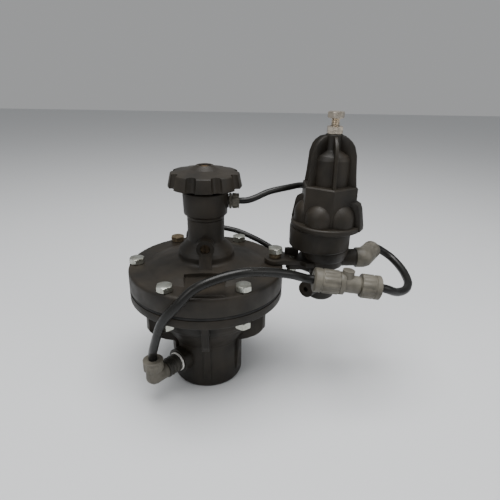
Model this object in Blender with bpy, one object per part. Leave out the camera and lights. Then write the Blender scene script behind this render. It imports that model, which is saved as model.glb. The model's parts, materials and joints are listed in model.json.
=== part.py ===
"""Pilot operated pressure reducing valve: a plastic angle body of two inch size with
a diaphragm bonnet, a handwheel that limits the opening, and an outside pilot valve
with its strainer and control tubes.

All sizes are in metres. The stem runs along +Z, the inlet opens downwards, the outlet
points to +Y and the pilot stands on the +X side.
"""

import math

import bmesh
import bpy
from mathutils import Matrix, Vector

GAP = 0.0003  # clearance between pieces that touch
OVERLAP = 0.0010  # how far a fused shape reaches into its neighbour

# Valve body: inlet socket, bowl and flange
BORE_R = 0.0250
THREAD_R = 0.0285
THREAD_DEPTH = 0.0240
SOCKET_R = 0.0355
SOCKET_EDGE = 0.0035
SHOULDER_Z = 0.0480
BOWL_R = 0.0540
BOWL_Z = 0.0740
BOWL_WALL = 0.0080
FLANGE_R = 0.0750
FLANGE_UNDER_Z = 0.0943
FLANGE_T = 0.0084
FLANGE_EDGE = 0.0008
SEAT_Z = 0.0560
SEAT_WALL = 0.0035
TROUGH_DEPTH = 0.0100
TROUGH_W = 0.0034

# Outlet socket at the back
OUTLET_Z = 0.0600
OUTLET_NECK_R = 0.0310
OUTLET_SOCKET_L = 0.0235
OUTLET_END_Y = 0.1000

# Ribs under the flange, between the bolts
RIB_W = 0.0068
RIB_R = 0.0642
RIB_CORNER_DROP = 0.0263
RIB_FOOT_Z = 0.0110
RIB_PROUD = 0.0030
RIB_TURNS = (-150.0, -90.0, -30.0, 30.0, 150.0)

# Bolts through both flanges
BOLT_COUNT = 6
BOLT_CIRCLE_R = 0.0675
BOLT_R = 0.0039
BOLT_PLAY = 0.0005
BOLT_FLATS = 0.0130
BOLT_HEAD_H = 0.0053
NUT_H = 0.0065
BOLT_TAIL = 0.0020

# Diaphragm, stem and closure
LIFT = 0.0080
DIAPHRAGM_T = 0.0025
DIAPHRAGM_EDGE = 0.0005
PLATE_R = 0.0340
PLATE_T = 0.0032
STEM_R = 0.0060
STEM_TIP_R = 0.0045
STEM_TIP_L = 0.0130
STEM_WASHER_R = 0.0140
STEM_WASHER_T = 0.0040
DISC_R = 0.0290
DISC_T = 0.0070
DISC_HUB_R = 0.0100
DISC_HUB_H = 0.0080
SEAL_T = 0.0024
SEAL_SPIGOT_R = 0.0170
SEAL_SPIGOT_H = 0.0020
SPRING_COIL_R = 0.0155
SPRING_WIRE_R = 0.0014
SPRING_TURNS = 5.0

# Bonnet
BONNET_RIM_H = 0.0185
BONNET_EDGE = 0.0025
BOLT_LAND_R = 0.0562
DOME_STEPS = ((0.0470, 0.0033), (0.0380, 0.0053), (0.0300, 0.0072))
BELL_R = 0.0270
BELL_FOOT_RISE = 0.0100
BELL_TOP_RISE = 0.0142
NECK_R = 0.0174
NECK_FOOT_RISE = 0.0257
NECK_TOP_RISE = 0.0469
NECK_BORE_R = 0.0078
FOOT_ROOM_R = 0.0110
FOOT_ROOM_RISE = 0.0320
SPRING_ROOM_R = 0.0210
SPRING_ROOM_RISE = 0.0137
CHAMBER_RISE = 0.0102

# Plugged port at the front of the bell, and the bare panel in front of it
PLUG_BOSS_R = 0.0082
PLUG_BOSS_Y = 0.0272
PLUG_BOSS_RISE = 0.0247
PLUG_RECESS_R = 0.0046
PLUG_RECESS_DEPTH = 0.0050
PLUG_L = 0.0036
PLUG_SLOT_W = 0.0014
PLUG_PORT_R = 0.0020
WEB_W = 0.0118
WEB_FOOT_Y = 0.0330
PANEL_W = 0.0365
PANEL_D = 0.0338
PANEL_Y = 0.0541
PANEL_RISE = 0.0022
PANEL_GROOVE_W = 0.0006

# Selector collar and the parts that limit the opening
COLLAR_SKIRT_R = 0.0176
COLLAR_SKIRT_H = 0.0034
COLLAR_R = 0.0203
COLLAR_TOP_R = 0.0212
COLLAR_H = 0.0259
COLLAR_ROOM_R = 0.0130
COLLAR_ROOF_T = 0.0070
COLLAR_PORT_RISE = 0.0157
COLLAR_PORT_PROUD = 0.0004
SPINDLE_R = 0.0060
SPINDLE_PIN_R = 0.0040
SPINDLE_PIN_L = 0.0130
FOOT_RISE = 0.0180
FOOT_R = 0.0080
FOOT_T = 0.0047
LIMIT_DOWN = 0.0065
LIMIT_UP = 0.0040

# Handwheel
WHEEL_CLEARANCE = 0.0041
WHEEL_TOP_R = 0.0314
WHEEL_FOOT_R = 0.0340
WHEEL_RIM_H = 0.0127
WHEEL_WALL = 0.0050
WHEEL_WEB_T = 0.0045
WHEEL_HUB_R = 0.0080
WHEEL_HUB_RISE = 0.0062
WHEEL_SLEEVE_R = 0.0100
WHEEL_WELL_R = 0.0058
WHEEL_WELL_DEPTH = 0.0034
WHEEL_ROOF_T = 0.0017
WHEEL_LOBES = 9
FLUTE_DEPTH = 0.0030
FLUTE_R = 0.0077
WHEEL_SCREW_R = 0.0050
WHEEL_SCREW_H = 0.0016
WHEEL_SCREW_SHANK_R = 0.0020
WHEEL_SCREW_L = 0.0080

# Fittings for the 8 mm tube, and the smaller ones for the 6 mm tube
TUBE_R = 0.0040
LEG_R = 0.0078
THREAD_SPIGOT_R = 0.0050
THREAD_SPIGOT_L = 0.0090
NUT_R = 0.0094
NUT_L = 0.0112
SPIGOT_R = 0.0062
SPIGOT_L = 0.0060
SMALL_TUBE_R = 0.0030
SMALL_LEG_R = 0.0065
SMALL_THREAD_R = 0.0042
SMALL_THREAD_L = 0.0080
SMALL_NUT_R = 0.0072
SMALL_NUT_L = 0.0100
SMALL_SPIGOT_R = 0.0048
SMALL_SPIGOT_L = 0.0036
SMALL_FLATS = 0.0130
PASSAGE_R = 0.0022
LEG_NECK = 0.96  # second leg of an elbow against its first

# Pressure tap at the front left of the inlet socket
TAP_TURN = -132.2
TAP_Z = 0.0310
TAP_BOSS_R = 0.0125
TAP_BOSS_END = 0.0430
TAPE_R = 0.0096
TAPE_T = 0.0017
NIPPLE_R = 0.0090
NIPPLE_L = 0.0144
NIPPLE_RIBS = 3
TAP_REACH = 0.0733

# Bracket that carries the pilot on the right bonnet bolt
BRACKET_T = 0.0050
BRACKET_END_R = 0.0105
BRACKET_HALF_W = 0.0090
BRACKET_FORK_HALF_W = 0.0160
BRACKET_FORK_X = 0.1040
BRACKET_WEB_T = 0.0030
BRACKET_WEB_H = 0.0070
BRACKET_WEB_X = 0.0775
BRACKET_WEB_END_X = 0.0915
SPACER_H = 0.0044
SPACER_R = 0.0058
LUG_X = 0.0845
LUG_R = 0.0060
LUG_T = 0.0060
LUG_SCREW_R = 0.0025
LUG_SCREW_FLATS = 0.0080
LUG_SCREW_HEAD_H = 0.0040

# Pilot valve: base, drum and bonnet, all measured up from the bracket
PILOT_X = 0.1155
PILOT_TURN = -94.0
BASE_H = 0.0183
BASE_TOP_R = 0.0240
BASE_WAIST_R = 0.0215
BASE_WAIST_RISE = 0.0070
BASE_SEAT_R = 0.0190
BASE_SEAT_DROP = 0.0011
BASE_STEM_R = 0.0125
BASE_NECK_R = 0.0110
BASE_NECK_DROP = 0.0160
BASE_CAP_R = 0.0135
BASE_CAP_DROP = 0.0200
BASE_DEPTH = 0.0376
DRUM_X = 0.1100
DRUM_R = 0.0292
DRUM_H = 0.0197
DRUM_EDGE = 0.0012
DRUM_ROOM_R = 0.0165
DRUM_FLOOR_T = 0.0040
PILOT_FLANGE_R = 0.0340
PILOT_FLANGE_T = 0.0053
HEX_CORNER_R = 0.0272
HEX_H = 0.0408
HOUSING_R = 0.0165
HOUSING_H = 0.0608
PILOT_NECK_R = 0.0079
PILOT_H = 0.0858
FIN_T = 0.0030
FIN_SHOULDER_R = 0.0200
FIN_SHOULDER_DROP = 0.0095
FIN_FOOT_R = 0.0254
DOME_R = 0.0095
DOME_OUT = 0.0190
DOME_RISE = 0.0170
EAR_TURN = -35.0
EAR_R = 0.0350
EAR_W = 0.0100
EAR_H = 0.0278
PILOT_ROOM_R = 0.0130
PILOT_ROOM_H = 0.0618
RECESS_R = 0.0162
RECESS_H = 0.0340
PILOT_DIAPHRAGM_R = 0.0207
PILOT_DIAPHRAGM_T = 0.0016
PILOT_DISH = 0.0020
PILOT_DISH_R = 0.0125
SPOOL_R = 0.0034
SPOOL_PLATE_R = 0.0110
SPOOL_PLATE_T = 0.0030
SPOOL_DROP = 0.0150
SPOOL_LIFT = 0.0008
FOLLOWER_R = 0.0117
FOLLOWER_T = 0.0034
PORT_RISE = 0.0044
PORT_R = 0.0085
PORT_END_X = 0.1475
VENT_TURN = -135.0
VENT_DROP = 0.0216
VENT_R = 0.0080
VENT_REACH = 0.0270
VENT_HOLE_R = 0.0026
VENT_HOLE_DEPTH = 0.0100
SENSE_TURN = 135.0
SENSE_DROP = 0.0095
SENSE_BOSS_R = 0.0070
SENSE_REACH = 0.0210
CONTROL_X = 0.1120
CONTROL_RISE = 0.0100
CONTROL_BOSS_R = 0.0075
CONTROL_BOSS_Y = 0.0330
CONTROL_ELBOW_Y = 0.0450

# Pilot adjusting screw and spring
SCREW_R = 0.0039
SCREW_L = 0.0442
SCREW_HEAD_RISE = 0.0135
SCREW_HEAD_H = 0.0057
LOCK_NUT_H = 0.0065
LOCK_NUT_TURN = 25.0
BUTTON_R = 0.0122
BUTTON_T = 0.0060
PILOT_COIL_R = 0.0100
PILOT_WIRE_R = 0.0015
PILOT_SPRING_TURNS = 6.0

# In-line strainer between the two tubes of the front
STRAINER_LEFT = Vector((0.0979, -0.0425, 0.1260))
STRAINER_RIGHT = Vector((0.1587, -0.0465, 0.1188))
STRAINER_R = 0.0082
STRAINER_RING_R = 0.0106
STRAINER_RING_T = 0.0042
STRAINER_NUT_R = 0.0112
STRAINER_LEFT_NUT_L = 0.0232
STRAINER_RIGHT_NUT_L = 0.0180
STRAINER_SPIGOT_R = 0.0074
STRAINER_SPIGOT_L = 0.0120
STRAINER_LEFT_SPIGOT_L = 0.0178
STRAINER_BORE_R = 0.0052
SCREEN_R = 0.0048
SCREEN_T = 0.0008
FLUSH_BOSS_R = 0.0055
FLUSH_BOSS_H = 0.0135
FLUSH_BOSS_AT = 0.0300

# Sensing connection on top of the outlet socket
SENSE_TAP_X = -0.0240
SENSE_TAP_Y = 0.0880
SENSE_TAP_BOSS_R = 0.0090
SENSE_TAP_H = 0.0310
SENSE_TAP_HOLE_H = 0.0100
SENSE_HEX_H = 0.0060
COLLAR_HEX_H = 0.0026
COLLAR_NUT_L = 0.0064

# Right hand elbow of the pilot
PILOT_ELBOW_X = 0.1565
PILOT_ELBOW_TURN = 50.0
PILOT_ELBOW_RISE = 5.0
PILOT_ELBOW_R = 0.0100

# Facets around round pieces
ROUND_BIG = 24
ROUND_MEDIUM = 16
ROUND_SMALL = 12
ROUND_HOLE = 8
LOBE_STEPS = 3
COIL_STEPS = 6

# Sizes that follow from the ones above
BODY_TOP_Z = FLANGE_UNDER_Z + FLANGE_T
CHAMBER_R = BOWL_R - BOWL_WALL
SEAT_TUBE_R = BORE_R + SEAT_WALL
BOLT_HOLE_R = BOLT_R + BOLT_PLAY
DIAPHRAGM_Z = BODY_TOP_Z + GAP
DISHED_Z = DIAPHRAGM_Z - LIFT
PLATE_Z = DISHED_Z + DIAPHRAGM_T + GAP
BONNET_Z = DIAPHRAGM_Z + DIAPHRAGM_T + GAP
BONNET_TOP_Z = BONNET_Z + BONNET_RIM_H
SPRING_ROOM_Z = BONNET_TOP_Z + SPRING_ROOM_RISE
NECK_TOP_Z = BONNET_TOP_Z + NECK_TOP_RISE
SEAL_Z = SEAT_Z + GAP
DISC_Z = SEAL_Z + SEAL_T + GAP
DISC_TOP_Z = DISC_Z + DISC_T + DISC_HUB_H
STEM_TIP_Z = DISC_TOP_Z - STEM_TIP_L
COLLAR_Z = NECK_TOP_Z + GAP
COLLAR_TOP_Z = COLLAR_Z + COLLAR_H
FOOT_Z = BONNET_TOP_Z + FOOT_RISE
STEM_TOP_Z = FOOT_Z - LIFT - LIMIT_DOWN - GAP
SPINDLE_Z = FOOT_Z + FOOT_T + GAP
WHEEL_FOOT_Z = COLLAR_TOP_Z + WHEEL_CLEARANCE
WHEEL_TOP_Z = WHEEL_FOOT_Z + WHEEL_RIM_H
WHEEL_HUB_Z = WHEEL_TOP_Z + WHEEL_HUB_RISE
WHEEL_WELL_Z = WHEEL_HUB_Z - WHEEL_WELL_DEPTH
SPINDLE_TOP_Z = WHEEL_WELL_Z - WHEEL_ROOF_T - GAP
BRACKET_Z = BONNET_TOP_Z + GAP
BRACKET_TOP_Z = BRACKET_Z + BRACKET_T
BASE_TOP_Z = BRACKET_Z + BASE_H
DRUM_Z = BASE_TOP_Z + GAP
DRUM_TOP_Z = DRUM_Z + DRUM_H
PILOT_Z = DRUM_TOP_Z + GAP
PILOT_TOP_Z = PILOT_Z + PILOT_H
PILOT_RIM_Z = PILOT_Z - GAP - PILOT_DIAPHRAGM_T
SPOOL_PLATE_Z = PILOT_RIM_Z - PILOT_DISH - GAP - SPOOL_PLATE_T
FOLLOWER_Z = PILOT_RIM_Z - PILOT_DISH + PILOT_DIAPHRAGM_T + GAP
SCREW_HEAD_Z = PILOT_TOP_Z + SCREW_HEAD_RISE
SCREW_TIP_Z = SCREW_HEAD_Z - SCREW_L
BUTTON_Z = SCREW_TIP_Z - GAP - BUTTON_T
SCREW_HOLE_R = SCREW_R + BOLT_PLAY
OUTLET_SOCKET_Y = OUTLET_END_Y - OUTLET_SOCKET_L
SENSE_TAP_TOP_Z = OUTLET_Z + SENSE_TAP_H
UP = Vector((0.0, 0.0, 1.0))
RIGHT = Vector((1.0, 0.0, 0.0))
BACK = Vector((0.0, 1.0, 0.0))
PILOT_AXIS = RIGHT * PILOT_X

# Hand placed points of the tubes between their fittings
SUPPLY_ROUTE = (
    (-0.0470, -0.0592, 0.0650),
    (-0.0440, -0.0635, 0.0760),
    (-0.0405, -0.0682, 0.0880),
    (-0.0371, -0.0713, 0.0980),
    (-0.0309, -0.0753, 0.1090),
    (-0.0228, -0.0778, 0.1190),
    (-0.0083, -0.0757, 0.1338),
    (0.0117, -0.0709, 0.1413),
    (0.0320, -0.0652, 0.1439),
    (0.0532, -0.0586, 0.1414),
    (0.0756, -0.0511, 0.1352),
)
LOOP_ROUTE = (
    (0.1793, -0.0398, 0.1105),
    (0.1907, -0.0315, 0.1089),
    (0.1972, -0.0209, 0.1100),
    (0.1993, -0.0100, 0.1116),
    (0.1992, -0.0005, 0.1140),
    (0.1972, 0.0092, 0.1168),
    (0.1930, 0.0186, 0.1204),
    (0.1858, 0.0232, 0.1248),
)
CONTROL_ROUTE = (
    (0.0456, 0.0030, 0.1915),
    (0.0614, 0.0080, 0.1942),
    (0.0778, 0.0149, 0.1960),
    (0.0935, 0.0265, 0.1955),
    (0.1040, 0.0370, 0.1915),
    (0.1098, 0.0432, 0.1850),
)
SENSING_ROUTE = (
    (-0.0228, 0.0897, 0.1240),
    (-0.0108, 0.0879, 0.1295),
    (0.0033, 0.0850, 0.1311),
    (0.0183, 0.0820, 0.1304),
    (0.0332, 0.0770, 0.1285),
    (0.0467, 0.0691, 0.1253),
    (0.0595, 0.0582, 0.1223),
    (0.0699, 0.0475, 0.1194),
)


def heading(turn, rise=0.0):
    """Unit vector at an angle from +X about Z, raised above the level, in degrees."""
    flat, up = math.radians(turn), math.radians(rise)
    return Vector((math.cos(flat) * math.cos(up), math.sin(flat) * math.cos(up), math.sin(up)))


def arc(centre_r, centre_z, radius, start, end, steps):
    """Points of an arc in a flat plane, from one angle to another in degrees."""
    angles = [math.radians(start + (end - start) * i / steps) for i in range(steps + 1)]
    return [(centre_r + radius * math.cos(a), centre_z + radius * math.sin(a)) for a in angles]


def corner_r(flats, sides=6):
    """Radius of the corners of a regular polygon with this size across its flats."""
    return flats / 2 / math.cos(math.pi / sides)


def turned(profile, segments):
    """A closed outline of (radius, height) points spun about Z."""
    bm = bmesh.new()
    ring = [bm.verts.new((radius, 0.0, height)) for radius, height in profile]
    pairs = zip(ring, ring[1:] + ring[:1])
    edges = [bm.edges.new((a, b)) for a, b in pairs if a.co.x > 0.0 or b.co.x > 0.0]
    bmesh.ops.spin(
        bm, geom=ring + edges, cent=(0, 0, 0), axis=(0, 0, 1), angle=math.tau, steps=segments, use_merge=True
    )
    bmesh.ops.remove_doubles(bm, verts=bm.verts, dist=1e-6)
    bmesh.ops.recalc_face_normals(bm, faces=bm.faces)
    return bm


def prism(outline, low, high):
    """A flat outline of (x, y) points pulled up from one height to another."""
    bm = bmesh.new()
    base = bm.faces.new([bm.verts.new((x, y, low)) for x, y in outline])
    grown = bmesh.ops.extrude_face_region(bm, geom=[base])["geom"]
    top = [item for item in grown if isinstance(item, bmesh.types.BMVert)]
    bmesh.ops.translate(bm, verts=top, vec=(0, 0, high - low))
    bmesh.ops.recalc_face_normals(bm, faces=bm.faces)
    return bm


def upright_plate(outline, thickness):
    """An (out, up) outline as a plate standing on the XZ plane, centred on it."""
    bm = prism(outline, -thickness / 2, thickness / 2)
    bmesh.ops.rotate(bm, verts=bm.verts, cent=(0, 0, 0), matrix=Matrix.Rotation(math.pi / 2, 3, "X"))
    return bm


def box(low, high):
    """A block between two opposite corners."""
    outline = [(low[0], low[1]), (high[0], low[1]), (high[0], high[1]), (low[0], high[1])]
    return prism(outline, low[2], high[2])


def moved(bm, offset):
    bmesh.ops.translate(bm, verts=bm.verts, vec=offset)
    return bm


def spun(bm, turn):
    bmesh.ops.rotate(bm, verts=bm.verts, cent=(0, 0, 0), matrix=Matrix.Rotation(math.radians(turn), 3, "Z"))
    return bm


def aimed(bm, origin, direction):
    """Turns a shape built up +Z so that it starts at origin and runs along direction."""
    turn = direction.to_track_quat("Z", "Y").to_matrix().to_4x4()
    bmesh.ops.transform(bm, verts=bm.verts, matrix=Matrix.Translation(origin) @ turn)
    return bm


def rod(radius, start, end, segments=ROUND_SMALL):
    """A plain cylinder between two points."""
    length = (end - start).length
    return aimed(turned([(0, 0), (radius, 0), (radius, length), (0, length)], segments), start, end - start)


def ball(radius, centre):
    bm = bmesh.new()
    bmesh.ops.create_uvsphere(bm, u_segments=ROUND_HOLE, v_segments=ROUND_HOLE - 2, radius=radius)
    return moved(bm, centre)


def together(shapes):
    """Separate shapes held in one mesh, as one tool for a Boolean."""
    bm = bmesh.new()
    for shape in shapes:
        mesh = bpy.data.meshes.new("shape")
        shape.to_mesh(mesh)
        shape.free()
        bm.from_mesh(mesh)
        bpy.data.meshes.remove(mesh)
    return bm


def finish(name, color, roughness, metallic=0.0):
    """A Principled material for one kind of surface."""
    made = bpy.data.materials.new(name)
    made.use_nodes = True
    shader = made.node_tree.nodes["Principled BSDF"]
    shader.inputs["Base Color"].default_value = (*color, 1.0)
    shader.inputs["Roughness"].default_value = roughness
    shader.inputs["Metallic"].default_value = metallic
    return made


def link(obj):
    obj.parent = ROOT
    bpy.context.scene.collection.objects.link(obj)
    return obj


def shaded_mesh(name, bm):
    """A mesh shaded smooth apart from its sharp edges."""
    mesh = bpy.data.meshes.new(name)
    bm.to_mesh(mesh)
    bm.free()
    mesh.shade_smooth()
    mesh.set_sharp_from_angle(angle=math.radians(35))
    return mesh


def piece(name, bm, material):
    """One sub-part of the valve."""
    mesh = shaded_mesh(name, bm)
    mesh.materials.append(material)
    return link(bpy.data.objects.new(name, mesh))


def shape_with(target, bm, operation):
    """Adds or cuts a shape with the piece's one Boolean of that kind; tools stay hidden."""
    name = f"{target.name} {operation.lower()}"
    tools = bpy.data.collections.get(name)
    if tools is None:
        tools = bpy.data.collections.new(name)
        bpy.context.scene.collection.children.link(tools)
        change = target.modifiers.new(operation.title(), "BOOLEAN")
        change.operation = operation
        change.solver = "EXACT"
        change.operand_type = "COLLECTION"
        change.collection = tools
    tool = bpy.data.objects.new(name, shaded_mesh(name, bm))
    tool.parent = ROOT
    tool.hide_render = True
    tool.display_type = "WIRE"
    tools.objects.link(tool)


def fuse(target, bm):
    shape_with(target, bm, "UNION")


def carve(target, bm):
    shape_with(target, bm, "DIFFERENCE")


def origin_on_pilot_axis(obj):
    """The pilot's moving pieces turn or slide about the pilot's own axis."""
    obj.data.transform(Matrix.Translation(-PILOT_AXIS))
    obj.location = PILOT_AXIS


def bolt_places():
    step = 360.0 / BOLT_COUNT
    return [heading(step * index) * BOLT_CIRCLE_R for index in range(BOLT_COUNT)]


def bolt_holes(low, high):
    return together([rod(BOLT_HOLE_R, at + UP * low, at + UP * high, ROUND_HOLE) for at in bolt_places()])


def body_outline():
    foot = arc(SOCKET_R - SOCKET_EDGE, SOCKET_EDGE, SOCKET_EDGE, -90, 0, 2)
    return [(0, 0)] + foot + [
        (SOCKET_R, SHOULDER_Z - 0.0020),
        (SOCKET_R + 0.0013, SHOULDER_Z + 0.0018),
        (BOWL_R - 0.0040, BOWL_Z - 0.0044),
        (BOWL_R - 0.0012, BOWL_Z - 0.0012),
        (BOWL_R, BOWL_Z + 0.0026),
        (BOWL_R, FLANGE_UNDER_Z),
        (FLANGE_R - FLANGE_EDGE, FLANGE_UNDER_Z),
        (FLANGE_R, FLANGE_UNDER_Z + FLANGE_EDGE),
        (FLANGE_R, BODY_TOP_Z),
        (0, BODY_TOP_Z),
    ]


def waterway_outline():
    """Inlet bore, the standing seat with its trough, and the chamber above them."""
    trough_r = SEAT_TUBE_R + TROUGH_W
    trough_z = SEAT_Z - TROUGH_DEPTH
    lip = SEAT_WALL / 5
    return [
        (0, -OVERLAP),
        (THREAD_R, -OVERLAP),
        (THREAD_R, THREAD_DEPTH),
        (BORE_R, THREAD_DEPTH),
        (BORE_R, SEAT_Z - lip),
        (BORE_R + lip, SEAT_Z),
        (SEAT_TUBE_R - lip, SEAT_Z),
        (SEAT_TUBE_R, SEAT_Z - lip),
        (SEAT_TUBE_R, trough_z),
        (trough_r, trough_z),
        (trough_r + TROUGH_W / 2, trough_z + TROUGH_DEPTH * 0.8),
        (CHAMBER_R, BOWL_Z + 0.0020),
        (CHAMBER_R, BODY_TOP_Z + OVERLAP),
        (0, BODY_TOP_Z + OVERLAP),
    ]


def rib_outline():
    """Side view of a rib: flange, rounded corner, then a low strip down the socket."""
    corner_z = FLANGE_UNDER_Z - RIB_CORNER_DROP
    inner_r = BOWL_R - BOWL_WALL / 2
    root_r = (SOCKET_R + THREAD_R) / 2
    return [
        (RIB_R, FLANGE_UNDER_Z + OVERLAP),
        (RIB_R, corner_z),
        (RIB_R - 0.0035, corner_z - 0.0050),
        (RIB_R - 0.0078, corner_z - 0.0092),
        (SOCKET_R + RIB_PROUD + 0.0099, corner_z - 0.0148),
        (SOCKET_R + RIB_PROUD, corner_z - 0.0200),
        (SOCKET_R + RIB_PROUD, corner_z - 0.0260),
        (SOCKET_R + RIB_PROUD / 5, RIB_FOOT_Z),
        (root_r, RIB_FOOT_Z),
        (root_r + 0.0015, SHOULDER_Z),
        (inner_r, BOWL_Z + 0.0020),
        (inner_r, FLANGE_UNDER_Z + OVERLAP),
    ]


def outlet_solid():
    """Neck and socket of the outlet, laid along +Y from inside the bowl."""
    rim = arc(SOCKET_R - SOCKET_EDGE, OUTLET_END_Y - SOCKET_EDGE, SOCKET_EDGE, 0, 90, 2)
    step = OUTLET_SOCKET_Y
    profile = [(0, 0), (OUTLET_NECK_R, 0), (OUTLET_NECK_R, step), (SOCKET_R, step + 0.0020)]
    return aimed(turned(profile + rim + [(0, OUTLET_END_Y)], ROUND_MEDIUM), UP * OUTLET_Z, BACK)


def outlet_bore():
    """Waterway from the ring chamber to the outlet, wider where the pipe screws in."""
    start = SEAT_TUBE_R + 0.0005
    length = OUTLET_END_Y - start
    thread = length - THREAD_DEPTH
    profile = [(0, 0), (BORE_R, 0), (BORE_R, thread), (THREAD_R, thread)]
    profile += [(THREAD_R, length + OVERLAP), (0, length + OVERLAP)]
    return aimed(turned(profile, ROUND_MEDIUM), BACK * start + UP * OUTLET_Z, BACK)


def make_body():
    body = piece("valve_body", turned(body_outline(), ROUND_BIG), BLACK)
    fuse(body, together([spun(upright_plate(rib_outline(), RIB_W), turn) for turn in RIB_TURNS]))
    fuse(body, outlet_solid())
    way = heading(TAP_TURN)
    tap = UP * TAP_Z
    fuse(body, rod(TAP_BOSS_R, way * THREAD_R + tap, way * TAP_BOSS_END + tap))
    sense = Vector((SENSE_TAP_X, SENSE_TAP_Y, 0))
    fuse(body, rod(SENSE_TAP_BOSS_R, sense + UP * OUTLET_Z, sense + UP * SENSE_TAP_TOP_Z))
    carve(body, turned(waterway_outline(), ROUND_MEDIUM))
    carve(body, outlet_bore())
    tap_hole = THREAD_SPIGOT_R + GAP
    carve(body, rod(tap_hole, way * (BORE_R - OVERLAP) + tap, way * (TAP_BOSS_END + OVERLAP) + tap))
    low = sense + UP * (OUTLET_Z + SENSE_TAP_HOLE_H)
    carve(body, rod(SMALL_THREAD_R + GAP, low, sense + UP * (SENSE_TAP_TOP_Z + OVERLAP)))
    carve(body, bolt_holes(FLANGE_UNDER_Z - OVERLAP, BODY_TOP_Z + OVERLAP))


def make_closure():
    """Diaphragm, its plate, the stem, the disc with its seal, and the closing spring."""
    hole = STEM_R + GAP
    low, high = DISHED_Z, DIAPHRAGM_Z
    dish_r = PLATE_R + 0.0030
    top_r = CHAMBER_R - 0.0010
    diaphragm = [
        (hole, low),
        (dish_r, low),
        (top_r, high),
        (FLANGE_R - DIAPHRAGM_EDGE, high),
        (FLANGE_R - DIAPHRAGM_EDGE, high + DIAPHRAGM_T),
        (top_r - 0.0012, high + DIAPHRAGM_T),
        (dish_r - 0.0012, low + DIAPHRAGM_T),
        (hole, low + DIAPHRAGM_T),
    ]
    sheet = piece("diaphragm", turned(diaphragm, ROUND_BIG), RUBBER)
    carve(sheet, bolt_holes(high - OVERLAP, high + DIAPHRAGM_T + OVERLAP))

    plate_top = PLATE_Z + PLATE_T
    plate = [(hole, PLATE_Z), (PLATE_R, PLATE_Z), (PLATE_R, plate_top - 0.0008), (PLATE_R - 0.0008, plate_top)]
    piece("diaphragm_plate", turned(plate + [(hole, plate_top)], ROUND_MEDIUM), STEEL)

    washer_top = DISHED_Z - GAP
    stem = [
        (0, STEM_TIP_Z),
        (STEM_TIP_R, STEM_TIP_Z),
        (STEM_TIP_R, DISC_TOP_Z + GAP),
        (STEM_R, DISC_TOP_Z + GAP),
        (STEM_R, washer_top - STEM_WASHER_T),
        (STEM_WASHER_R, washer_top - STEM_WASHER_T + 0.0015),
        (STEM_WASHER_R, washer_top),
        (STEM_R, washer_top),
        (STEM_R, STEM_TOP_Z - 0.0010),
        (STEM_R - 0.0010, STEM_TOP_Z),
        (0, STEM_TOP_Z),
    ]
    piece("valve_stem", turned(stem, ROUND_SMALL), STEEL)

    disc_low = DISC_Z - SEAL_SPIGOT_H
    disc = [
        (0, disc_low),
        (SEAL_SPIGOT_R, disc_low),
        (SEAL_SPIGOT_R, DISC_Z),
        (DISC_R, DISC_Z),
        (DISC_R, DISC_Z + DISC_T * 0.8),
        (DISC_R - 0.0020, DISC_Z + DISC_T),
        (DISC_HUB_R + 0.0020, DISC_Z + DISC_T + 0.0030),
        (DISC_HUB_R, DISC_TOP_Z),
        (STEM_TIP_R + GAP, DISC_TOP_Z),
        (STEM_TIP_R + GAP, STEM_TIP_Z - GAP),
        (0, STEM_TIP_Z - GAP),
    ]
    piece("closure_disc", turned(disc, ROUND_MEDIUM), BLACK)
    seal_in, seal_out = SEAL_SPIGOT_R + GAP, DISC_R - 0.0005
    seal = [(seal_in, SEAL_Z), (seal_out, SEAL_Z), (seal_out, SEAL_Z + SEAL_T), (seal_in, SEAL_Z + SEAL_T)]
    piece("seat_seal", turned(seal, ROUND_MEDIUM), RUBBER)
    coil_low = plate_top + GAP + SPRING_WIRE_R
    coil_high = SPRING_ROOM_Z - GAP - SPRING_WIRE_R
    make_coil("main_spring", Vector((0, 0, 0)), SPRING_COIL_R, SPRING_WIRE_R, SPRING_TURNS, coil_low, coil_high)


def bonnet_outline():
    edge = arc(FLANGE_R - BONNET_EDGE, BONNET_TOP_Z - BONNET_EDGE, BONNET_EDGE, 0, 90, 2)
    dome = [(radius, BONNET_TOP_Z + rise) for radius, rise in DOME_STEPS]
    return [(0, BONNET_Z), (FLANGE_R, BONNET_Z)] + edge + [(BOLT_LAND_R, BONNET_TOP_Z)] + dome + [
        (BELL_R + 0.0006, BONNET_TOP_Z + BELL_FOOT_RISE - 0.0018),
        (BELL_R, BONNET_TOP_Z + BELL_FOOT_RISE),
        (BELL_R, BONNET_TOP_Z + BELL_TOP_RISE),
        (BELL_R - 0.0015, BONNET_TOP_Z + BELL_TOP_RISE + 0.0030),
        (NECK_R + 0.0016, BONNET_TOP_Z + NECK_FOOT_RISE - 0.0020),
        (NECK_R, BONNET_TOP_Z + NECK_FOOT_RISE),
        (NECK_R, NECK_TOP_Z),
        (0, NECK_TOP_Z),
    ]


def bonnet_room_outline():
    """Control chamber, spring room and the bore for the spindle."""
    room_z = BONNET_Z + CHAMBER_RISE
    foot_room_z = BONNET_TOP_Z + FOOT_ROOM_RISE
    return [
        (0, BONNET_Z - OVERLAP),
        (CHAMBER_R, BONNET_Z - OVERLAP),
        (CHAMBER_R, room_z),
        (CHAMBER_R - 0.0060, room_z + 0.0055),
        (SPRING_ROOM_R, room_z + 0.0095),
        (SPRING_ROOM_R, SPRING_ROOM_Z),
        (FOOT_ROOM_R, SPRING_ROOM_Z + 0.0030),
        (FOOT_ROOM_R, foot_room_z),
        (NECK_BORE_R, foot_room_z + 0.0015),
        (NECK_BORE_R, NECK_TOP_Z + OVERLAP),
        (0, NECK_TOP_Z + OVERLAP),
    ]


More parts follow.
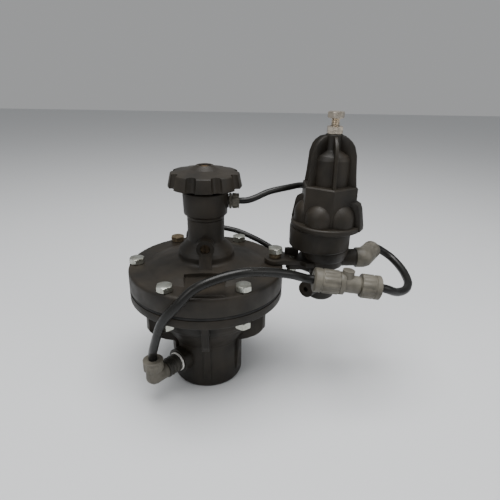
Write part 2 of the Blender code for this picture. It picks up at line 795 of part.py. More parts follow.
def make_bonnet():
    bonnet = piece("bonnet", turned(bonnet_outline(), ROUND_BIG), BLACK)
    plug = UP * (BONNET_TOP_Z + PLUG_BOSS_RISE)
    fuse(bonnet, rod(PLUG_BOSS_R, plug, plug - BACK * PLUG_BOSS_Y))
    web = [
        (FOOT_ROOM_R, plug.z),
        (PLUG_BOSS_Y - 0.0006, plug.z),
        (PLUG_BOSS_Y + 0.0006, plug.z - PLUG_BOSS_R),
        (WEB_FOOT_Y - 0.0020, BONNET_TOP_Z + BELL_FOOT_RISE - 0.0005),
        (WEB_FOOT_Y, BONNET_TOP_Z + 0.0050),
        (FOOT_ROOM_R, BONNET_TOP_Z + 0.0050),
    ]
    fuse(bonnet, spun(upright_plate(web, WEB_W), -90))
    half, near, far = PANEL_W / 2, PANEL_Y - PANEL_D / 2, PANEL_Y + PANEL_D / 2
    panel_z = BONNET_TOP_Z + PANEL_RISE
    margin = PANEL_GROOVE_W
    fuse(bonnet, box((-half, -far, BONNET_TOP_Z - OVERLAP), (half, -near, panel_z + OVERLAP)))
    carve(bonnet, box((-half - margin, -far - margin, panel_z), (half + margin, -near + margin, plug.z)))
    carve(bonnet, turned(bonnet_room_outline(), ROUND_MEDIUM))
    mouth = plug - BACK * PLUG_BOSS_Y
    recess = mouth + BACK * PLUG_RECESS_DEPTH
    carve(bonnet, rod(PLUG_RECESS_R, mouth - BACK * OVERLAP, recess))
    carve(bonnet, rod(PLUG_PORT_R, recess - BACK * OVERLAP, plug - BACK * (FOOT_ROOM_R - OVERLAP)))
    carve(bonnet, bolt_holes(BONNET_Z - OVERLAP, BONNET_TOP_Z + OVERLAP))

    inner = recess - BACK * GAP
    outer = inner - BACK * PLUG_L
    bleed = piece("bleed_plug", rod(PLUG_RECESS_R - GAP, inner, outer), BRASS_DARK)
    slot = PLUG_SLOT_W / 2
    low = (-slot, outer.y - OVERLAP, outer.z - PLUG_RECESS_R)
    high = (slot, outer.y + PLUG_L / 3, outer.z + PLUG_RECESS_R)
    carve(bleed, box(low, high))


def hex_nut_outline(radius, height):
    """Half section of a nut with both ends chamfered, to be turned in six or eight steps."""
    cut = height / 8
    end_r = radius * 0.88
    return [(0, 0), (end_r, 0), (radius, cut), (radius, height - cut), (end_r, height), (0, height)]


def make_bolts():
    """Hex bolts down through both flanges; the one at +X also clamps the bracket."""
    head_r = corner_r(BOLT_FLATS)
    nut_top = FLANGE_UNDER_Z - GAP
    nut_low = nut_top - NUT_H
    for index, at in enumerate(bolt_places()):
        head_z = BONNET_TOP_Z + GAP
        if index == 0:
            head_z = BRACKET_TOP_Z + GAP + SPACER_H + GAP
        turn = 360.0 / BOLT_COUNT * index + 30
        head = moved(spun(turned(hex_nut_outline(head_r, BOLT_HEAD_H), 6), turn), at + UP * head_z)
        bolt = piece(f"bonnet_bolt_{index + 1}", head, RUST if index == 2 else ZINC)
        fuse(bolt, rod(BOLT_R, at + UP * (nut_low - BOLT_TAIL), at + UP * (head_z + OVERLAP), ROUND_HOLE))
        flats = moved(spun(turned(hex_nut_outline(head_r, NUT_H), 6), turn), at + UP * nut_low)
        nut = piece(f"bonnet_nut_{index + 1}", flats, ZINC)
        carve(nut, rod(BOLT_HOLE_R, at + UP * (nut_low - OVERLAP), at + UP * (nut_top + OVERLAP), ROUND_HOLE))


def make_limiter():
    """Selector collar, spindle with its foot, and the handwheel on top."""
    hole = SPINDLE_R + GAP
    roof_z = COLLAR_TOP_Z - COLLAR_ROOF_T
    collar = [
        (COLLAR_ROOM_R, COLLAR_Z),
        (COLLAR_SKIRT_R, COLLAR_Z),
        (COLLAR_SKIRT_R, COLLAR_Z + COLLAR_SKIRT_H - 0.0008),
        (COLLAR_R, COLLAR_Z + COLLAR_SKIRT_H + 0.0010),
        (COLLAR_TOP_R, COLLAR_TOP_Z - 0.0010),
        (COLLAR_TOP_R - 0.0010, COLLAR_TOP_Z),
        (hole, COLLAR_TOP_Z),
        (hole, roof_z),
        (COLLAR_ROOM_R, roof_z),
    ]
    shell = piece("selector_collar", turned(collar, ROUND_BIG), BLACK)
    port = UP * (COLLAR_Z + COLLAR_PORT_RISE)
    mouth = port + RIGHT * (COLLAR_TOP_R + COLLAR_PORT_PROUD)
    fuse(shell, rod(SMALL_LEG_R, port + RIGHT * (COLLAR_ROOM_R + OVERLAP), mouth))
    carve(shell, rod(SMALL_THREAD_R + GAP, port + RIGHT * (COLLAR_ROOM_R - OVERLAP * 2), mouth + RIGHT * OVERLAP))

    pin_top = SPINDLE_Z + SPINDLE_PIN_L
    pin_hole = SPINDLE_PIN_R + GAP
    screw_hole = WHEEL_SCREW_SHANK_R + GAP
    screw_floor = SPINDLE_TOP_Z - WHEEL_SCREW_L
    spindle = [
        (pin_hole, SPINDLE_Z),
        (SPINDLE_R, SPINDLE_Z),
        (SPINDLE_R, SPINDLE_TOP_Z),
        (screw_hole, SPINDLE_TOP_Z),
        (screw_hole, screw_floor),
        (0, screw_floor),
        (0, pin_top + GAP),
        (pin_hole, pin_top + GAP),
    ]
    piece("control_spindle", turned(spindle, ROUND_SMALL), STEEL)
    foot = [
        (0, FOOT_Z),
        (FOOT_R - 0.0010, FOOT_Z),
        (FOOT_R, FOOT_Z + 0.0010),
        (FOOT_R, FOOT_Z + FOOT_T),
        (SPINDLE_PIN_R, FOOT_Z + FOOT_T),
        (SPINDLE_PIN_R, pin_top),
        (0, pin_top),
    ]
    piece("spindle_foot", turned(foot, ROUND_SMALL), BRASS_DARK)
    make_handwheel(hole, screw_hole)


def make_handwheel(spindle_hole, screw_hole):
    web_z = WHEEL_TOP_Z - WHEEL_WEB_T
    sleeve_z = COLLAR_TOP_Z + LIMIT_DOWN + OVERLAP
    taper = (WHEEL_FOOT_R - WHEEL_TOP_R) / WHEEL_RIM_H
    wheel = [
        (WHEEL_FOOT_R - WHEEL_WALL, WHEEL_FOOT_Z),
        (WHEEL_FOOT_R - 0.0006, WHEEL_FOOT_Z),
        (WHEEL_FOOT_R, WHEEL_FOOT_Z + 0.0006),
        (WHEEL_TOP_R, WHEEL_TOP_Z - 0.0006),
        (WHEEL_TOP_R - 0.0008, WHEEL_TOP_Z),
        (WHEEL_HUB_R + 0.0080, WHEEL_TOP_Z + WHEEL_HUB_RISE * 0.45),
        (WHEEL_HUB_R + 0.0005, WHEEL_HUB_Z - 0.0012),
        (WHEEL_HUB_R, WHEEL_HUB_Z),
        (WHEEL_WELL_R, WHEEL_HUB_Z),
        (WHEEL_WELL_R, WHEEL_WELL_Z),
        (screw_hole, WHEEL_WELL_Z),
        (screw_hole, WHEEL_WELL_Z - WHEEL_ROOF_T),
        (spindle_hole, WHEEL_WELL_Z - WHEEL_ROOF_T),
        (spindle_hole, sleeve_z),
        (WHEEL_SLEEVE_R, sleeve_z),
        (WHEEL_SLEEVE_R, web_z),
        (WHEEL_TOP_R - WHEEL_WALL + taper * WHEEL_WEB_T, web_z),
    ]
    grip = piece("handwheel", turned(wheel, LOBE_STEPS * WHEEL_LOBES), BLACK)
    low_r = WHEEL_FOOT_R + taper * OVERLAP - FLUTE_DEPTH + FLUTE_R
    top_r = WHEEL_TOP_R - taper * OVERLAP - FLUTE_DEPTH + FLUTE_R
    flutes = []
    for index in range(WHEEL_LOBES):
        way = heading(90 + 360.0 / WHEEL_LOBES * index)
        low = way * low_r + UP * (WHEEL_FOOT_Z - OVERLAP)
        flutes.append(rod(FLUTE_R, low, way * top_r + UP * (WHEEL_TOP_Z + OVERLAP)))
    carve(grip, together(flutes))
    head_z = WHEEL_WELL_Z + GAP
    tip_z = SPINDLE_TOP_Z - WHEEL_SCREW_L + OVERLAP
    screw = [
        (0, tip_z),
        (WHEEL_SCREW_SHANK_R, tip_z),
        (WHEEL_SCREW_SHANK_R, head_z),
        (WHEEL_SCREW_R, head_z),
        (WHEEL_SCREW_R, head_z + WHEEL_SCREW_H - 0.0005),
        (WHEEL_SCREW_R - 0.0005, head_z + WHEEL_SCREW_H),
        (0, head_z + WHEEL_SCREW_H),
    ]
    piece("handwheel_screw", turned(screw, ROUND_SMALL), BRASS)


def smooth_route(points, spacing):
    """Points at even steps along a smooth curve through the route, straight at both ends."""
    points = [Vector(point) for point in points]
    count = len(points)
    chords = [(points[i + 1] - points[i]).length for i in range(count - 1)]
    slopes = [(points[i + 1] - points[i]) / chords[i] for i in range(count - 1)]
    tangents = [slopes[0], slopes[0]]
    for i in range(2, count - 2):
        before, after = chords[i - 1], chords[i]
        tangents.append((slopes[i - 1] * after + slopes[i] * before) / (before + after))
    tangents += [slopes[-1], slopes[-1]]
    route = [points[0]]
    for i in range(count - 1):
        steps = max(1, round(chords[i] / spacing))
        for step in range(1, steps + 1):
            t = step / steps
            ease = t * t * (3 - 2 * t)
            start_pull = t * (1 - t) * (1 - t) * chords[i]
            end_pull = t * t * (t - 1) * chords[i]
            at = points[i].lerp(points[i + 1], ease)
            route.append(at + tangents[i] * start_pull + tangents[i + 1] * end_pull)
    return route


def make_wire(name, route, radius, resolution, material):
    """A round section swept along points, closed at both ends."""
    curve = bpy.data.curves.new(name, "CURVE")
    curve.dimensions = "3D"
    curve.bevel_depth = radius
    curve.bevel_resolution = resolution
    curve.use_fill_caps = True
    spline = curve.splines.new("POLY")
    spline.points.add(len(route) - 1)
    for point, at in zip(spline.points, route):
        point.co = (*at, 1.0)
    spline.use_smooth = True
    curve.materials.append(material)
    return link(bpy.data.objects.new(name, curve))


def make_coil(name, axis, coil_r, wire_r, turns, low, high):
    """A compression spring between two heights."""
    steps = round(turns * COIL_STEPS)
    route = []
    for step in range(steps + 1):
        angle = math.tau * turns * step / steps
        rise = low + (high - low) * step / steps
        route.append(axis + Vector((coil_r * math.cos(angle), coil_r * math.sin(angle), rise)))
    return make_wire(name, route, wire_r, 1, STEEL)


def make_tube(name, radius, start, start_way, middle, end, end_way, resolution):
    """A tube that leaves one fitting straight, follows its route and enters the next straight."""
    lead, tail = start_way * radius * 2, end_way * radius * 2
    points = [start, start + lead] + [Vector(point) for point in middle] + [end + tail, end]
    return make_wire(name, smooth_route(points, radius * 5), radius, resolution, TUBE)


def make_nut(name, start, way, length, outer_r, spigot_r, spigot_l, tube_r):
    """Compression nut: flats outside, a spigot reaches in from one end, the tube from the other."""
    flats = piece(name, aimed(turned(hex_nut_outline(outer_r, length), 8), start, way), GREY)
    room, bore = spigot_r + GAP, tube_r + GAP
    depth = spigot_l + GAP
    inside = [(0, -OVERLAP), (room, -OVERLAP), (room, depth), (bore, depth)]
    inside += [(bore, length + OVERLAP), (0, length + OVERLAP)]
    carve(flats, aimed(turned(inside, ROUND_SMALL), start, way))
    return start + way * (spigot_l + 2 * GAP)


def make_big_nut(name, start, way):
    return make_nut(name, start, way, NUT_L, NUT_R, SPIGOT_R, SPIGOT_L, TUBE_R)


def make_small_nut(name, start, way, length=SMALL_NUT_L):
    return make_nut(name, start, way, length, SMALL_NUT_R, SMALL_SPIGOT_R, SMALL_SPIGOT_L, SMALL_TUBE_R)


def make_elbow(name, mouth, corner, out, leg_r, leg_l, thread, spigot):
    """Elbow fitting: a threaded end, a rounded corner and a spigot for the tube nut."""
    thread_r, thread_l = thread
    spigot_r, spigot_l = spigot
    length = (corner - mouth).length
    bend = arc(0, length, leg_r, 0, 90, 3)[:-1]
    first = [(0, -thread_l), (thread_r, -thread_l), (thread_r, 0), (leg_r, 0)] + bend + [(0, length + leg_r)]
    elbow = piece(name, aimed(turned(first, ROUND_SMALL), mouth, corner - mouth), GREY)
    neck = leg_r * LEG_NECK
    second = [(0, 0), (neck, 0), (neck, leg_l), (spigot_r, leg_l)]
    second += [(spigot_r, leg_l + spigot_l), (0, leg_l + spigot_l)]
    fuse(elbow, aimed(turned(second, ROUND_SMALL), corner, out))
    return corner + out * (leg_l + GAP)


def make_straight(name, mouth, way, hex_h):
    """Straight fitting: thread, hexagon and a spigot for the small tube nut."""
    hexagon = turned(hex_nut_outline(corner_r(SMALL_FLATS), hex_h), 6)
    fitting = piece(name, aimed(hexagon, mouth + way * GAP, way), GREY)
    length = SMALL_THREAD_L + hex_h
    widening = length - hex_h / 2
    core = [(0, 0), (SMALL_THREAD_R, 0), (SMALL_THREAD_R, widening), (SMALL_SPIGOT_R, widening)]
    core += [(SMALL_SPIGOT_R, length + SMALL_SPIGOT_L), (0, length + SMALL_SPIGOT_L)]
    fuse(fitting, aimed(turned(core, ROUND_SMALL), mouth + way * (GAP - SMALL_THREAD_L), way))
    return mouth + way * (hex_h + 2 * GAP)


def make_tap():
    """Tap fitting on the inlet socket: sealing tape, ribbed nipple, elbow and nut."""
    way, level = heading(TAP_TURN), UP * TAP_Z
    tape_start = way * (TAP_BOSS_END + GAP) + level
    hole = THREAD_SPIGOT_R + GAP
    tape = [(hole, 0), (TAPE_R, 0), (TAPE_R, TAPE_T), (hole, TAPE_T)]
    piece("tap_tape", aimed(turned(tape, ROUND_SMALL), tape_start, way), TAPE)

    nipple_start = tape_start + way * (TAPE_T + GAP)
    rib = NIPPLE_L / (2 * NIPPLE_RIBS + 1)
    dip = NIPPLE_R - 0.0010
    body = [(0, -THREAD_SPIGOT_L), (THREAD_SPIGOT_R, -THREAD_SPIGOT_L), (THREAD_SPIGOT_R, 0), (NIPPLE_R, 0)]
    for index in range(NIPPLE_RIBS):
        low = rib * (2 * index + 1)
        body += [(NIPPLE_R, low), (dip, low + rib * 0.1), (dip, low + rib * 0.9), (NIPPLE_R, low + rib)]
    hole_floor = NIPPLE_L - THREAD_SPIGOT_L
    body += [(NIPPLE_R, NIPPLE_L), (hole, NIPPLE_L), (hole, hole_floor), (0, hole_floor)]
    piece("tap_nipple", aimed(turned(body, ROUND_SMALL), nipple_start, way), GREY_DARK)

    mouth = nipple_start + way * (NIPPLE_L + GAP)
    corner = way * TAP_REACH + level
    thread = (THREAD_SPIGOT_R, THREAD_SPIGOT_L - GAP)
    nut_start = make_elbow("tap_elbow", mouth, corner, UP, LEG_R, LEG_R + GAP, thread, (SPIGOT_R, SPIGOT_L))
    return make_big_nut("tap_elbow_nut", nut_start, UP)


def make_bracket():
    """Plate from the right bonnet bolt to the pilot, with a rib along its back edge."""
    half, fork = BRACKET_HALF_W, BRACKET_FORK_HALF_W
    fork_x = BRACKET_FORK_X
    outline = arc(BOLT_CIRCLE_R, 0, BRACKET_END_R, 60, 300, 12)
    outline += [(BRACKET_WEB_X, -half), (BRACKET_WEB_END_X, -half), (fork_x - 0.0080, -fork), (fork_x, -fork)]
    outline += [(fork_x, fork), (fork_x - 0.0080, fork), (BRACKET_WEB_END_X, half), (BRACKET_WEB_X, half)]
    plate = piece("bracket", prism(outline, BRACKET_Z, BRACKET_TOP_Z), BLACK)
    web_low = (BRACKET_WEB_X + 0.0005, half - BRACKET_WEB_T, BRACKET_TOP_Z - OVERLAP)
    fuse(plate, box(web_low, (BRACKET_WEB_END_X, half - 0.0002, BRACKET_TOP_Z + BRACKET_WEB_H)))
    low, high = UP * (BRACKET_Z - OVERLAP), UP * (BRACKET_TOP_Z + OVERLAP)
    carve(plate, rod(BASE_SEAT_R + GAP, PILOT_AXIS + low, PILOT_AXIS + high, ROUND_MEDIUM))
    bolt, lug = RIGHT * BOLT_CIRCLE_R, RIGHT * LUG_X
    carve(plate, together([rod(BOLT_HOLE_R, bolt + low, bolt + high), rod(LUG_SCREW_R + GAP, lug + low, lug + high)]))

    spacer_z = BRACKET_TOP_Z + GAP
    spacer = [
        (BOLT_HOLE_R, spacer_z),
        (SPACER_R, spacer_z),
        (SPACER_R, spacer_z + SPACER_H),
        (BOLT_HOLE_R, spacer_z + SPACER_H),
    ]
    piece("bracket_spacer", moved(turned(spacer, ROUND_SMALL), bolt), RUST)
    head_top = BRACKET_Z - GAP - LUG_T - GAP
    head = turned(hex_nut_outline(corner_r(LUG_SCREW_FLATS), LUG_SCREW_HEAD_H), 6)
    screw = piece("bracket_screw", moved(head, lug + UP * (head_top - LUG_SCREW_HEAD_H)), ZINC)
    fuse(screw, rod(LUG_SCREW_R, lug + UP * (head_top - OVERLAP), lug + UP * BRACKET_TOP_Z))


def base_outline():
    low = BRACKET_Z - BASE_DEPTH
    stem_z = BRACKET_Z - BASE_SEAT_DROP
    cap_z = BRACKET_Z - BASE_CAP_DROP
    return [
        (0, low),
        (BASE_CAP_R - 0.0025, low),
        (BASE_CAP_R, low + 0.0025),
        (BASE_CAP_R, cap_z),
        (BASE_NECK_R, cap_z + 0.0020),
        (BASE_NECK_R, BRACKET_Z - BASE_NECK_DROP + 0.0010),
        (BASE_STEM_R, BRACKET_Z - BASE_NECK_DROP + 0.0025),
        (BASE_STEM_R, stem_z),
        (BASE_SEAT_R, stem_z),
        (BASE_SEAT_R, BRACKET_TOP_Z + GAP),
        (BASE_WAIST_R, BRACKET_Z + BASE_WAIST_RISE),
        (BASE_TOP_R, BASE_TOP_Z - 0.0020),
        (BASE_TOP_R, BASE_TOP_Z),
        (0, BASE_TOP_Z),
    ]


def port_cut(mouth, inward, thread_r, thread_l, length):
    """Threaded mouth of a port and the narrow passage behind it."""
    profile = [(0, -OVERLAP), (thread_r, -OVERLAP), (thread_r, thread_l), (PASSAGE_R, thread_l)]
    return aimed(turned(profile + [(PASSAGE_R, length), (0, length)], ROUND_SMALL), mouth, inward)


def make_pilot_base():
    base = piece("pilot_base", moved(turned(base_outline(), ROUND_MEDIUM), PILOT_AXIS), BLACK)
    port = PILOT_AXIS + UP * (BRACKET_Z + PORT_RISE)
    mouth = Vector((PORT_END_X, 0, port.z))
    fuse(base, rod(PORT_R, port, mouth))
    vent, vent_at = heading(VENT_TURN), PILOT_AXIS + UP * (BRACKET_Z - VENT_DROP)
    vent_end = vent_at + vent * VENT_REACH
    fuse(base, rod(VENT_R, vent_at, vent_end))
    sense, sense_at = heading(SENSE_TURN), PILOT_AXIS + UP * (BRACKET_Z - SENSE_DROP)
    reach = SENSE_REACH
    boss = [(0, 0), (SENSE_BOSS_R, 0), (SENSE_BOSS_R, reach), (SMALL_SPIGOT_R, reach)]
    boss += [(SMALL_SPIGOT_R, reach + SMALL_SPIGOT_L), (0, reach + SMALL_SPIGOT_L)]
    fuse(base, aimed(turned(boss, ROUND_SMALL), sense_at, sense))
    lug_top = BRACKET_Z - GAP
    lug = arc(LUG_X, 0, LUG_R, 90, 270, 6) + [(PILOT_X, -LUG_R), (PILOT_X, LUG_R)]
    fuse(base, prism(lug, lug_top - LUG_T, lug_top))
    lug_at = RIGHT * LUG_X
    hole_low, hole_high = UP * (lug_top - LUG_T - OVERLAP), UP * (lug_top + OVERLAP)
    carve(base, rod(LUG_SCREW_R + GAP, lug_at + hole_low, lug_at + hole_high))
    spool_floor = BRACKET_Z - SPOOL_DROP - OVERLAP
    carve(base, rod(SPOOL_R + GAP, PILOT_AXIS + UP * spool_floor, PILOT_AXIS + UP * (BASE_TOP_Z + OVERLAP)))
    carve(base, port_cut(mouth, -RIGHT, THREAD_SPIGOT_R + GAP, THREAD_SPIGOT_L + GAP, PORT_END_X - PILOT_X))
    carve(base, rod(VENT_HOLE_R, vent_end + vent * OVERLAP, vent_end - vent * VENT_HOLE_DEPTH))
    sense_end = sense_at + sense * (reach + SMALL_SPIGOT_L)
    carve(base, rod(PASSAGE_R, sense_end + sense * OVERLAP, sense_at))

    out = heading(PILOT_ELBOW_TURN, PILOT_ELBOW_RISE)
    corner = Vector((PILOT_ELBOW_X, 0, port.z))
    thread, spigot = (THREAD_SPIGOT_R, THREAD_SPIGOT_L), (SPIGOT_R, SPIGOT_L)
    start = mouth + RIGHT * GAP
    nut_start = make_elbow("pilot_elbow", start, corner, out, PILOT_ELBOW_R, PILOT_ELBOW_R, thread, spigot)
    loop_end = make_big_nut("pilot_elbow_nut", nut_start, out)
    sense_tube = make_small_nut("sense_nut", sense_at + sense * (reach + GAP), sense)
    return loop_end, sense_tube


def make_drum():
    """Short drum under the pilot's bonnet, with the control port at its back."""
    drum = [
        (0, DRUM_Z),
        (DRUM_R - DRUM_EDGE, DRUM_Z),
        (DRUM_R, DRUM_Z + DRUM_EDGE),
        (DRUM_R, DRUM_TOP_Z),
        (0, DRUM_TOP_Z),
    ]
    shell = piece("pilot_drum", moved(turned(drum, ROUND_BIG), RIGHT * DRUM_X), BLACK)
    control = Vector((CONTROL_X, 0, DRUM_Z + CONTROL_RISE))
    mouth = control + BACK * CONTROL_BOSS_Y
    fuse(shell, rod(CONTROL_BOSS_R, control + BACK * DRUM_ROOM_R, mouth))
    ledge = PILOT_RIM_Z - GAP
    floor = DRUM_Z + DRUM_FLOOR_T
    spool_hole = SPOOL_R + GAP
    recess_r = PILOT_DIAPHRAGM_R + GAP
    room = [
        (0, DRUM_Z - OVERLAP),
        (spool_hole, DRUM_Z - OVERLAP),
        (spool_hole, floor),
        (DRUM_ROOM_R, floor),
        (DRUM_ROOM_R, ledge),
        (recess_r, ledge),
        (recess_r, DRUM_TOP_Z + OVERLAP),
        (0, DRUM_TOP_Z + OVERLAP),
    ]
    carve(shell, moved(turned(room, ROUND_MEDIUM), PILOT_AXIS))
    depth = CONTROL_BOSS_Y - DRUM_ROOM_R + OVERLAP * 3
    carve(shell, port_cut(mouth, -BACK, SMALL_THREAD_R + GAP, SMALL_THREAD_L + GAP, depth))

    corner = Vector((CONTROL_X, CONTROL_ELBOW_Y, mouth.z))
    leg = SMALL_LEG_R + GAP
    thread, spigot = (SMALL_THREAD_R, SMALL_THREAD_L), (SMALL_SPIGOT_R, SMALL_SPIGOT_L)
    nut_start = make_elbow("control_elbow", mouth + BACK * GAP, corner, UP, SMALL_LEG_R, leg, thread, spigot)
    return make_small_nut("control_nut", nut_start, UP)


def pilot_core_outline():
    """Flange, hidden core, spring housing and the threaded neck on top."""
    housing_z = PILOT_Z + HOUSING_H
    return [
        (0, PILOT_Z),
        (PILOT_FLANGE_R - 0.0006, PILOT_Z),
        (PILOT_FLANGE_R, PILOT_Z + 0.0006),
        (PILOT_FLANGE_R, PILOT_Z + PILOT_FLANGE_T - 0.0010),
        (PILOT_FLANGE_R - 0.0010, PILOT_Z + PILOT_FLANGE_T),
        (HOUSING_R + 0.0020, PILOT_Z + PILOT_FLANGE_T),
        (HOUSING_R, PILOT_Z + HEX_H),
        (HOUSING_R, housing_z),
        (HOUSING_R - 0.0020, housing_z + 0.0040),
        (PILOT_NECK_R + 0.0025, housing_z + 0.0068),
        (PILOT_NECK_R, housing_z + 0.0080),
        (PILOT_NECK_R, PILOT_TOP_Z - 0.0006),
        (PILOT_NECK_R - 0.0006, PILOT_TOP_Z),
        (0, PILOT_TOP_Z),
    ]


def fin_outline():
    """One half of the arch that runs from the neck over the spring housing to the skirt."""
    shoulder_z = PILOT_TOP_Z - FIN_SHOULDER_DROP
    skirt_z = PILOT_Z + HEX_H
    return [
        (PILOT_NECK_R - 0.0020, PILOT_TOP_Z - 0.0012),
        (PILOT_NECK_R + 0.0010, PILOT_TOP_Z - 0.0012),
        (FIN_SHOULDER_R - 0.0070, PILOT_TOP_Z - 0.0024),
        (FIN_SHOULDER_R - 0.0028, shoulder_z + 0.0038),
        (FIN_SHOULDER_R, shoulder_z),
        (FIN_SHOULDER_R + 0.0024, shoulder_z - 0.0075),
        (FIN_FOOT_R - 0.0014, shoulder_z - 0.0260),
        (FIN_FOOT_R, skirt_z - OVERLAP),
        (HOUSING_R - 0.0020, skirt_z - OVERLAP),
        (HOUSING_R - 0.0020, PILOT_Z + HOUSING_H),
        (PILOT_NECK_R - 0.0020, PILOT_Z + HOUSING_H + 0.0060),
    ]


def ear_outline():
    return [
        (HOUSING_R, PILOT_Z + OVERLAP),
        (EAR_R, PILOT_Z + OVERLAP),
        (EAR_R, PILOT_Z + PILOT_FLANGE_T),
        (EAR_R - 0.0030, PILOT_Z + EAR_H - 0.0060),
        (EAR_R - 0.0048, PILOT_Z + EAR_H - 0.0018),
        (EAR_R - 0.0085, PILOT_Z + EAR_H),
        (HOUSING_R, PILOT_Z + EAR_H),
    ]


def make_pilot_bonnet():
    shell = piece("pilot_bonnet", moved(turned(pilot_core_outline(), ROUND_MEDIUM), PILOT_AXIS), BLACK)
    top = PILOT_Z + HEX_H
    skirt = [
        (0, PILOT_Z + OVERLAP),
        (HEX_CORNER_R, PILOT_Z + OVERLAP),
        (HEX_CORNER_R, top - 0.0012),
        (HEX_CORNER_R - 0.0012, top),
        (0, top),
    ]
    fuse(shell, moved(spun(turned(skirt, 6), PILOT_TURN), PILOT_AXIS))
    fins = [moved(spun(upright_plate(fin_outline(), FIN_T), PILOT_TURN + 60 * side), PILOT_AXIS) for side in range(6)]
    fuse(shell, together(fins))
    ears = [moved(spun(upright_plate(ear_outline(), EAR_W), EAR_TURN + 180 * side), PILOT_AXIS) for side in range(2)]
    fuse(shell, together(ears))
    dome_z = UP * (PILOT_Z + DOME_RISE)
    ways = [heading(PILOT_TURN + 30 + 60 * side) * DOME_OUT for side in range(6)]
    fuse(shell, together([ball(DOME_R, PILOT_AXIS + way + dome_z) for way in ways]))
    room = [
        (0, PILOT_Z - OVERLAP),
        (RECESS_R, PILOT_Z - OVERLAP),
        (RECESS_R, PILOT_Z + RECESS_H),
        (PILOT_ROOM_R, PILOT_Z + RECESS_H),
        (PILOT_ROOM_R, PILOT_Z + PILOT_ROOM_H),
        (SCREW_HOLE_R, PILOT_Z + PILOT_ROOM_H),
        (SCREW_HOLE_R, PILOT_TOP_Z + OVERLAP),
        (0, PILOT_TOP_Z + OVERLAP),
    ]
    carve(shell, moved(turned(room, ROUND_MEDIUM), PILOT_AXIS))


def make_pilot_insides():
    """Diaphragm, spool, follower, spring, button and the screw that sets the pressure."""
    hole = SPOOL_R + GAP
    low, rim = PILOT_RIM_Z - PILOT_DISH, PILOT_RIM_Z
    sheet = [
        (hole, low),
        (PILOT_DISH_R, low),
        (DRUM_ROOM_R - 0.0010, rim),
        (PILOT_DIAPHRAGM_R, rim),
        (PILOT_DIAPHRAGM_R, rim + PILOT_DIAPHRAGM_T),
        (DRUM_ROOM_R - 0.0014, rim + PILOT_DIAPHRAGM_T),
        (PILOT_DISH_R - 0.0004, low + PILOT_DIAPHRAGM_T),
        (hole, low + PILOT_DIAPHRAGM_T),
    ]
    origin_on_pilot_axis(piece("pilot_diaphragm", moved(turned(sheet, ROUND_MEDIUM), PILOT_AXIS), RUBBER))
    plate_top = SPOOL_PLATE_Z + SPOOL_PLATE_T
    follower_top = FOLLOWER_Z + FOLLOWER_T
    spool = [
        (0, BRACKET_Z - SPOOL_DROP),
        (SPOOL_R, BRACKET_Z - SPOOL_DROP),
        (SPOOL_R, SPOOL_PLATE_Z),
        (SPOOL_PLATE_R, SPOOL_PLATE_Z),
        (SPOOL_PLATE_R, plate_top),
        (SPOOL_R, plate_top),
        (SPOOL_R, follower_top),
        (0, follower_top),
    ]
    origin_on_pilot_axis(piece("pilot_spool", moved(turned(spool, ROUND_SMALL), PILOT_AXIS), BRASS_DARK))
    follower = [(hole, FOLLOWER_Z), (FOLLOWER_R, FOLLOWER_Z), (FOLLOWER_R, follower_top), (hole, follower_top)]
    origin_on_pilot_axis(piece("spring_follower", moved(turned(follower, ROUND_SMALL), PILOT_AXIS), STEEL))
    coil_low = follower_top + SPOOL_LIFT + GAP + PILOT_WIRE_R
    coil_high = BUTTON_Z - GAP - PILOT_WIRE_R
    make_coil("pilot_spring", PILOT_AXIS, PILOT_COIL_R, PILOT_WIRE_R, PILOT_SPRING_TURNS, coil_low, coil_high)
    button_top = BUTTON_Z + BUTTON_T
    button = [
        (0, BUTTON_Z),
        (BUTTON_R, BUTTON_Z),
        (BUTTON_R, BUTTON_Z + BUTTON_T / 2),
        (SCREW_R + 0.0015, button_top),
        (0, button_top),
    ]
    origin_on_pilot_axis(piece("spring_button", moved(turned(button, ROUND_SMALL), PILOT_AXIS), STEEL))

    head_r = corner_r(BOLT_FLATS)
    head = turned(hex_nut_outline(head_r, SCREW_HEAD_H), 6)
    screw = piece("adjusting_screw", moved(head, PILOT_AXIS + UP * SCREW_HEAD_Z), NICKEL)
    fuse(screw, rod(SCREW_R, PILOT_AXIS + UP * SCREW_TIP_Z, PILOT_AXIS + UP * (SCREW_HEAD_Z + OVERLAP)))
    origin_on_pilot_axis(screw)
    nut_z = PILOT_TOP_Z + GAP
    flats = spun(turned(hex_nut_outline(head_r, LOCK_NUT_H), 6), LOCK_NUT_TURN)
    nut = piece("lock_nut", moved(flats, PILOT_AXIS + UP * nut_z), NICKEL)
    low, high = UP * (nut_z - OVERLAP), UP * (nut_z + LOCK_NUT_H + OVERLAP)
    carve(nut, rod(SCREW_HOLE_R, PILOT_AXIS + low, PILOT_AXIS + high))


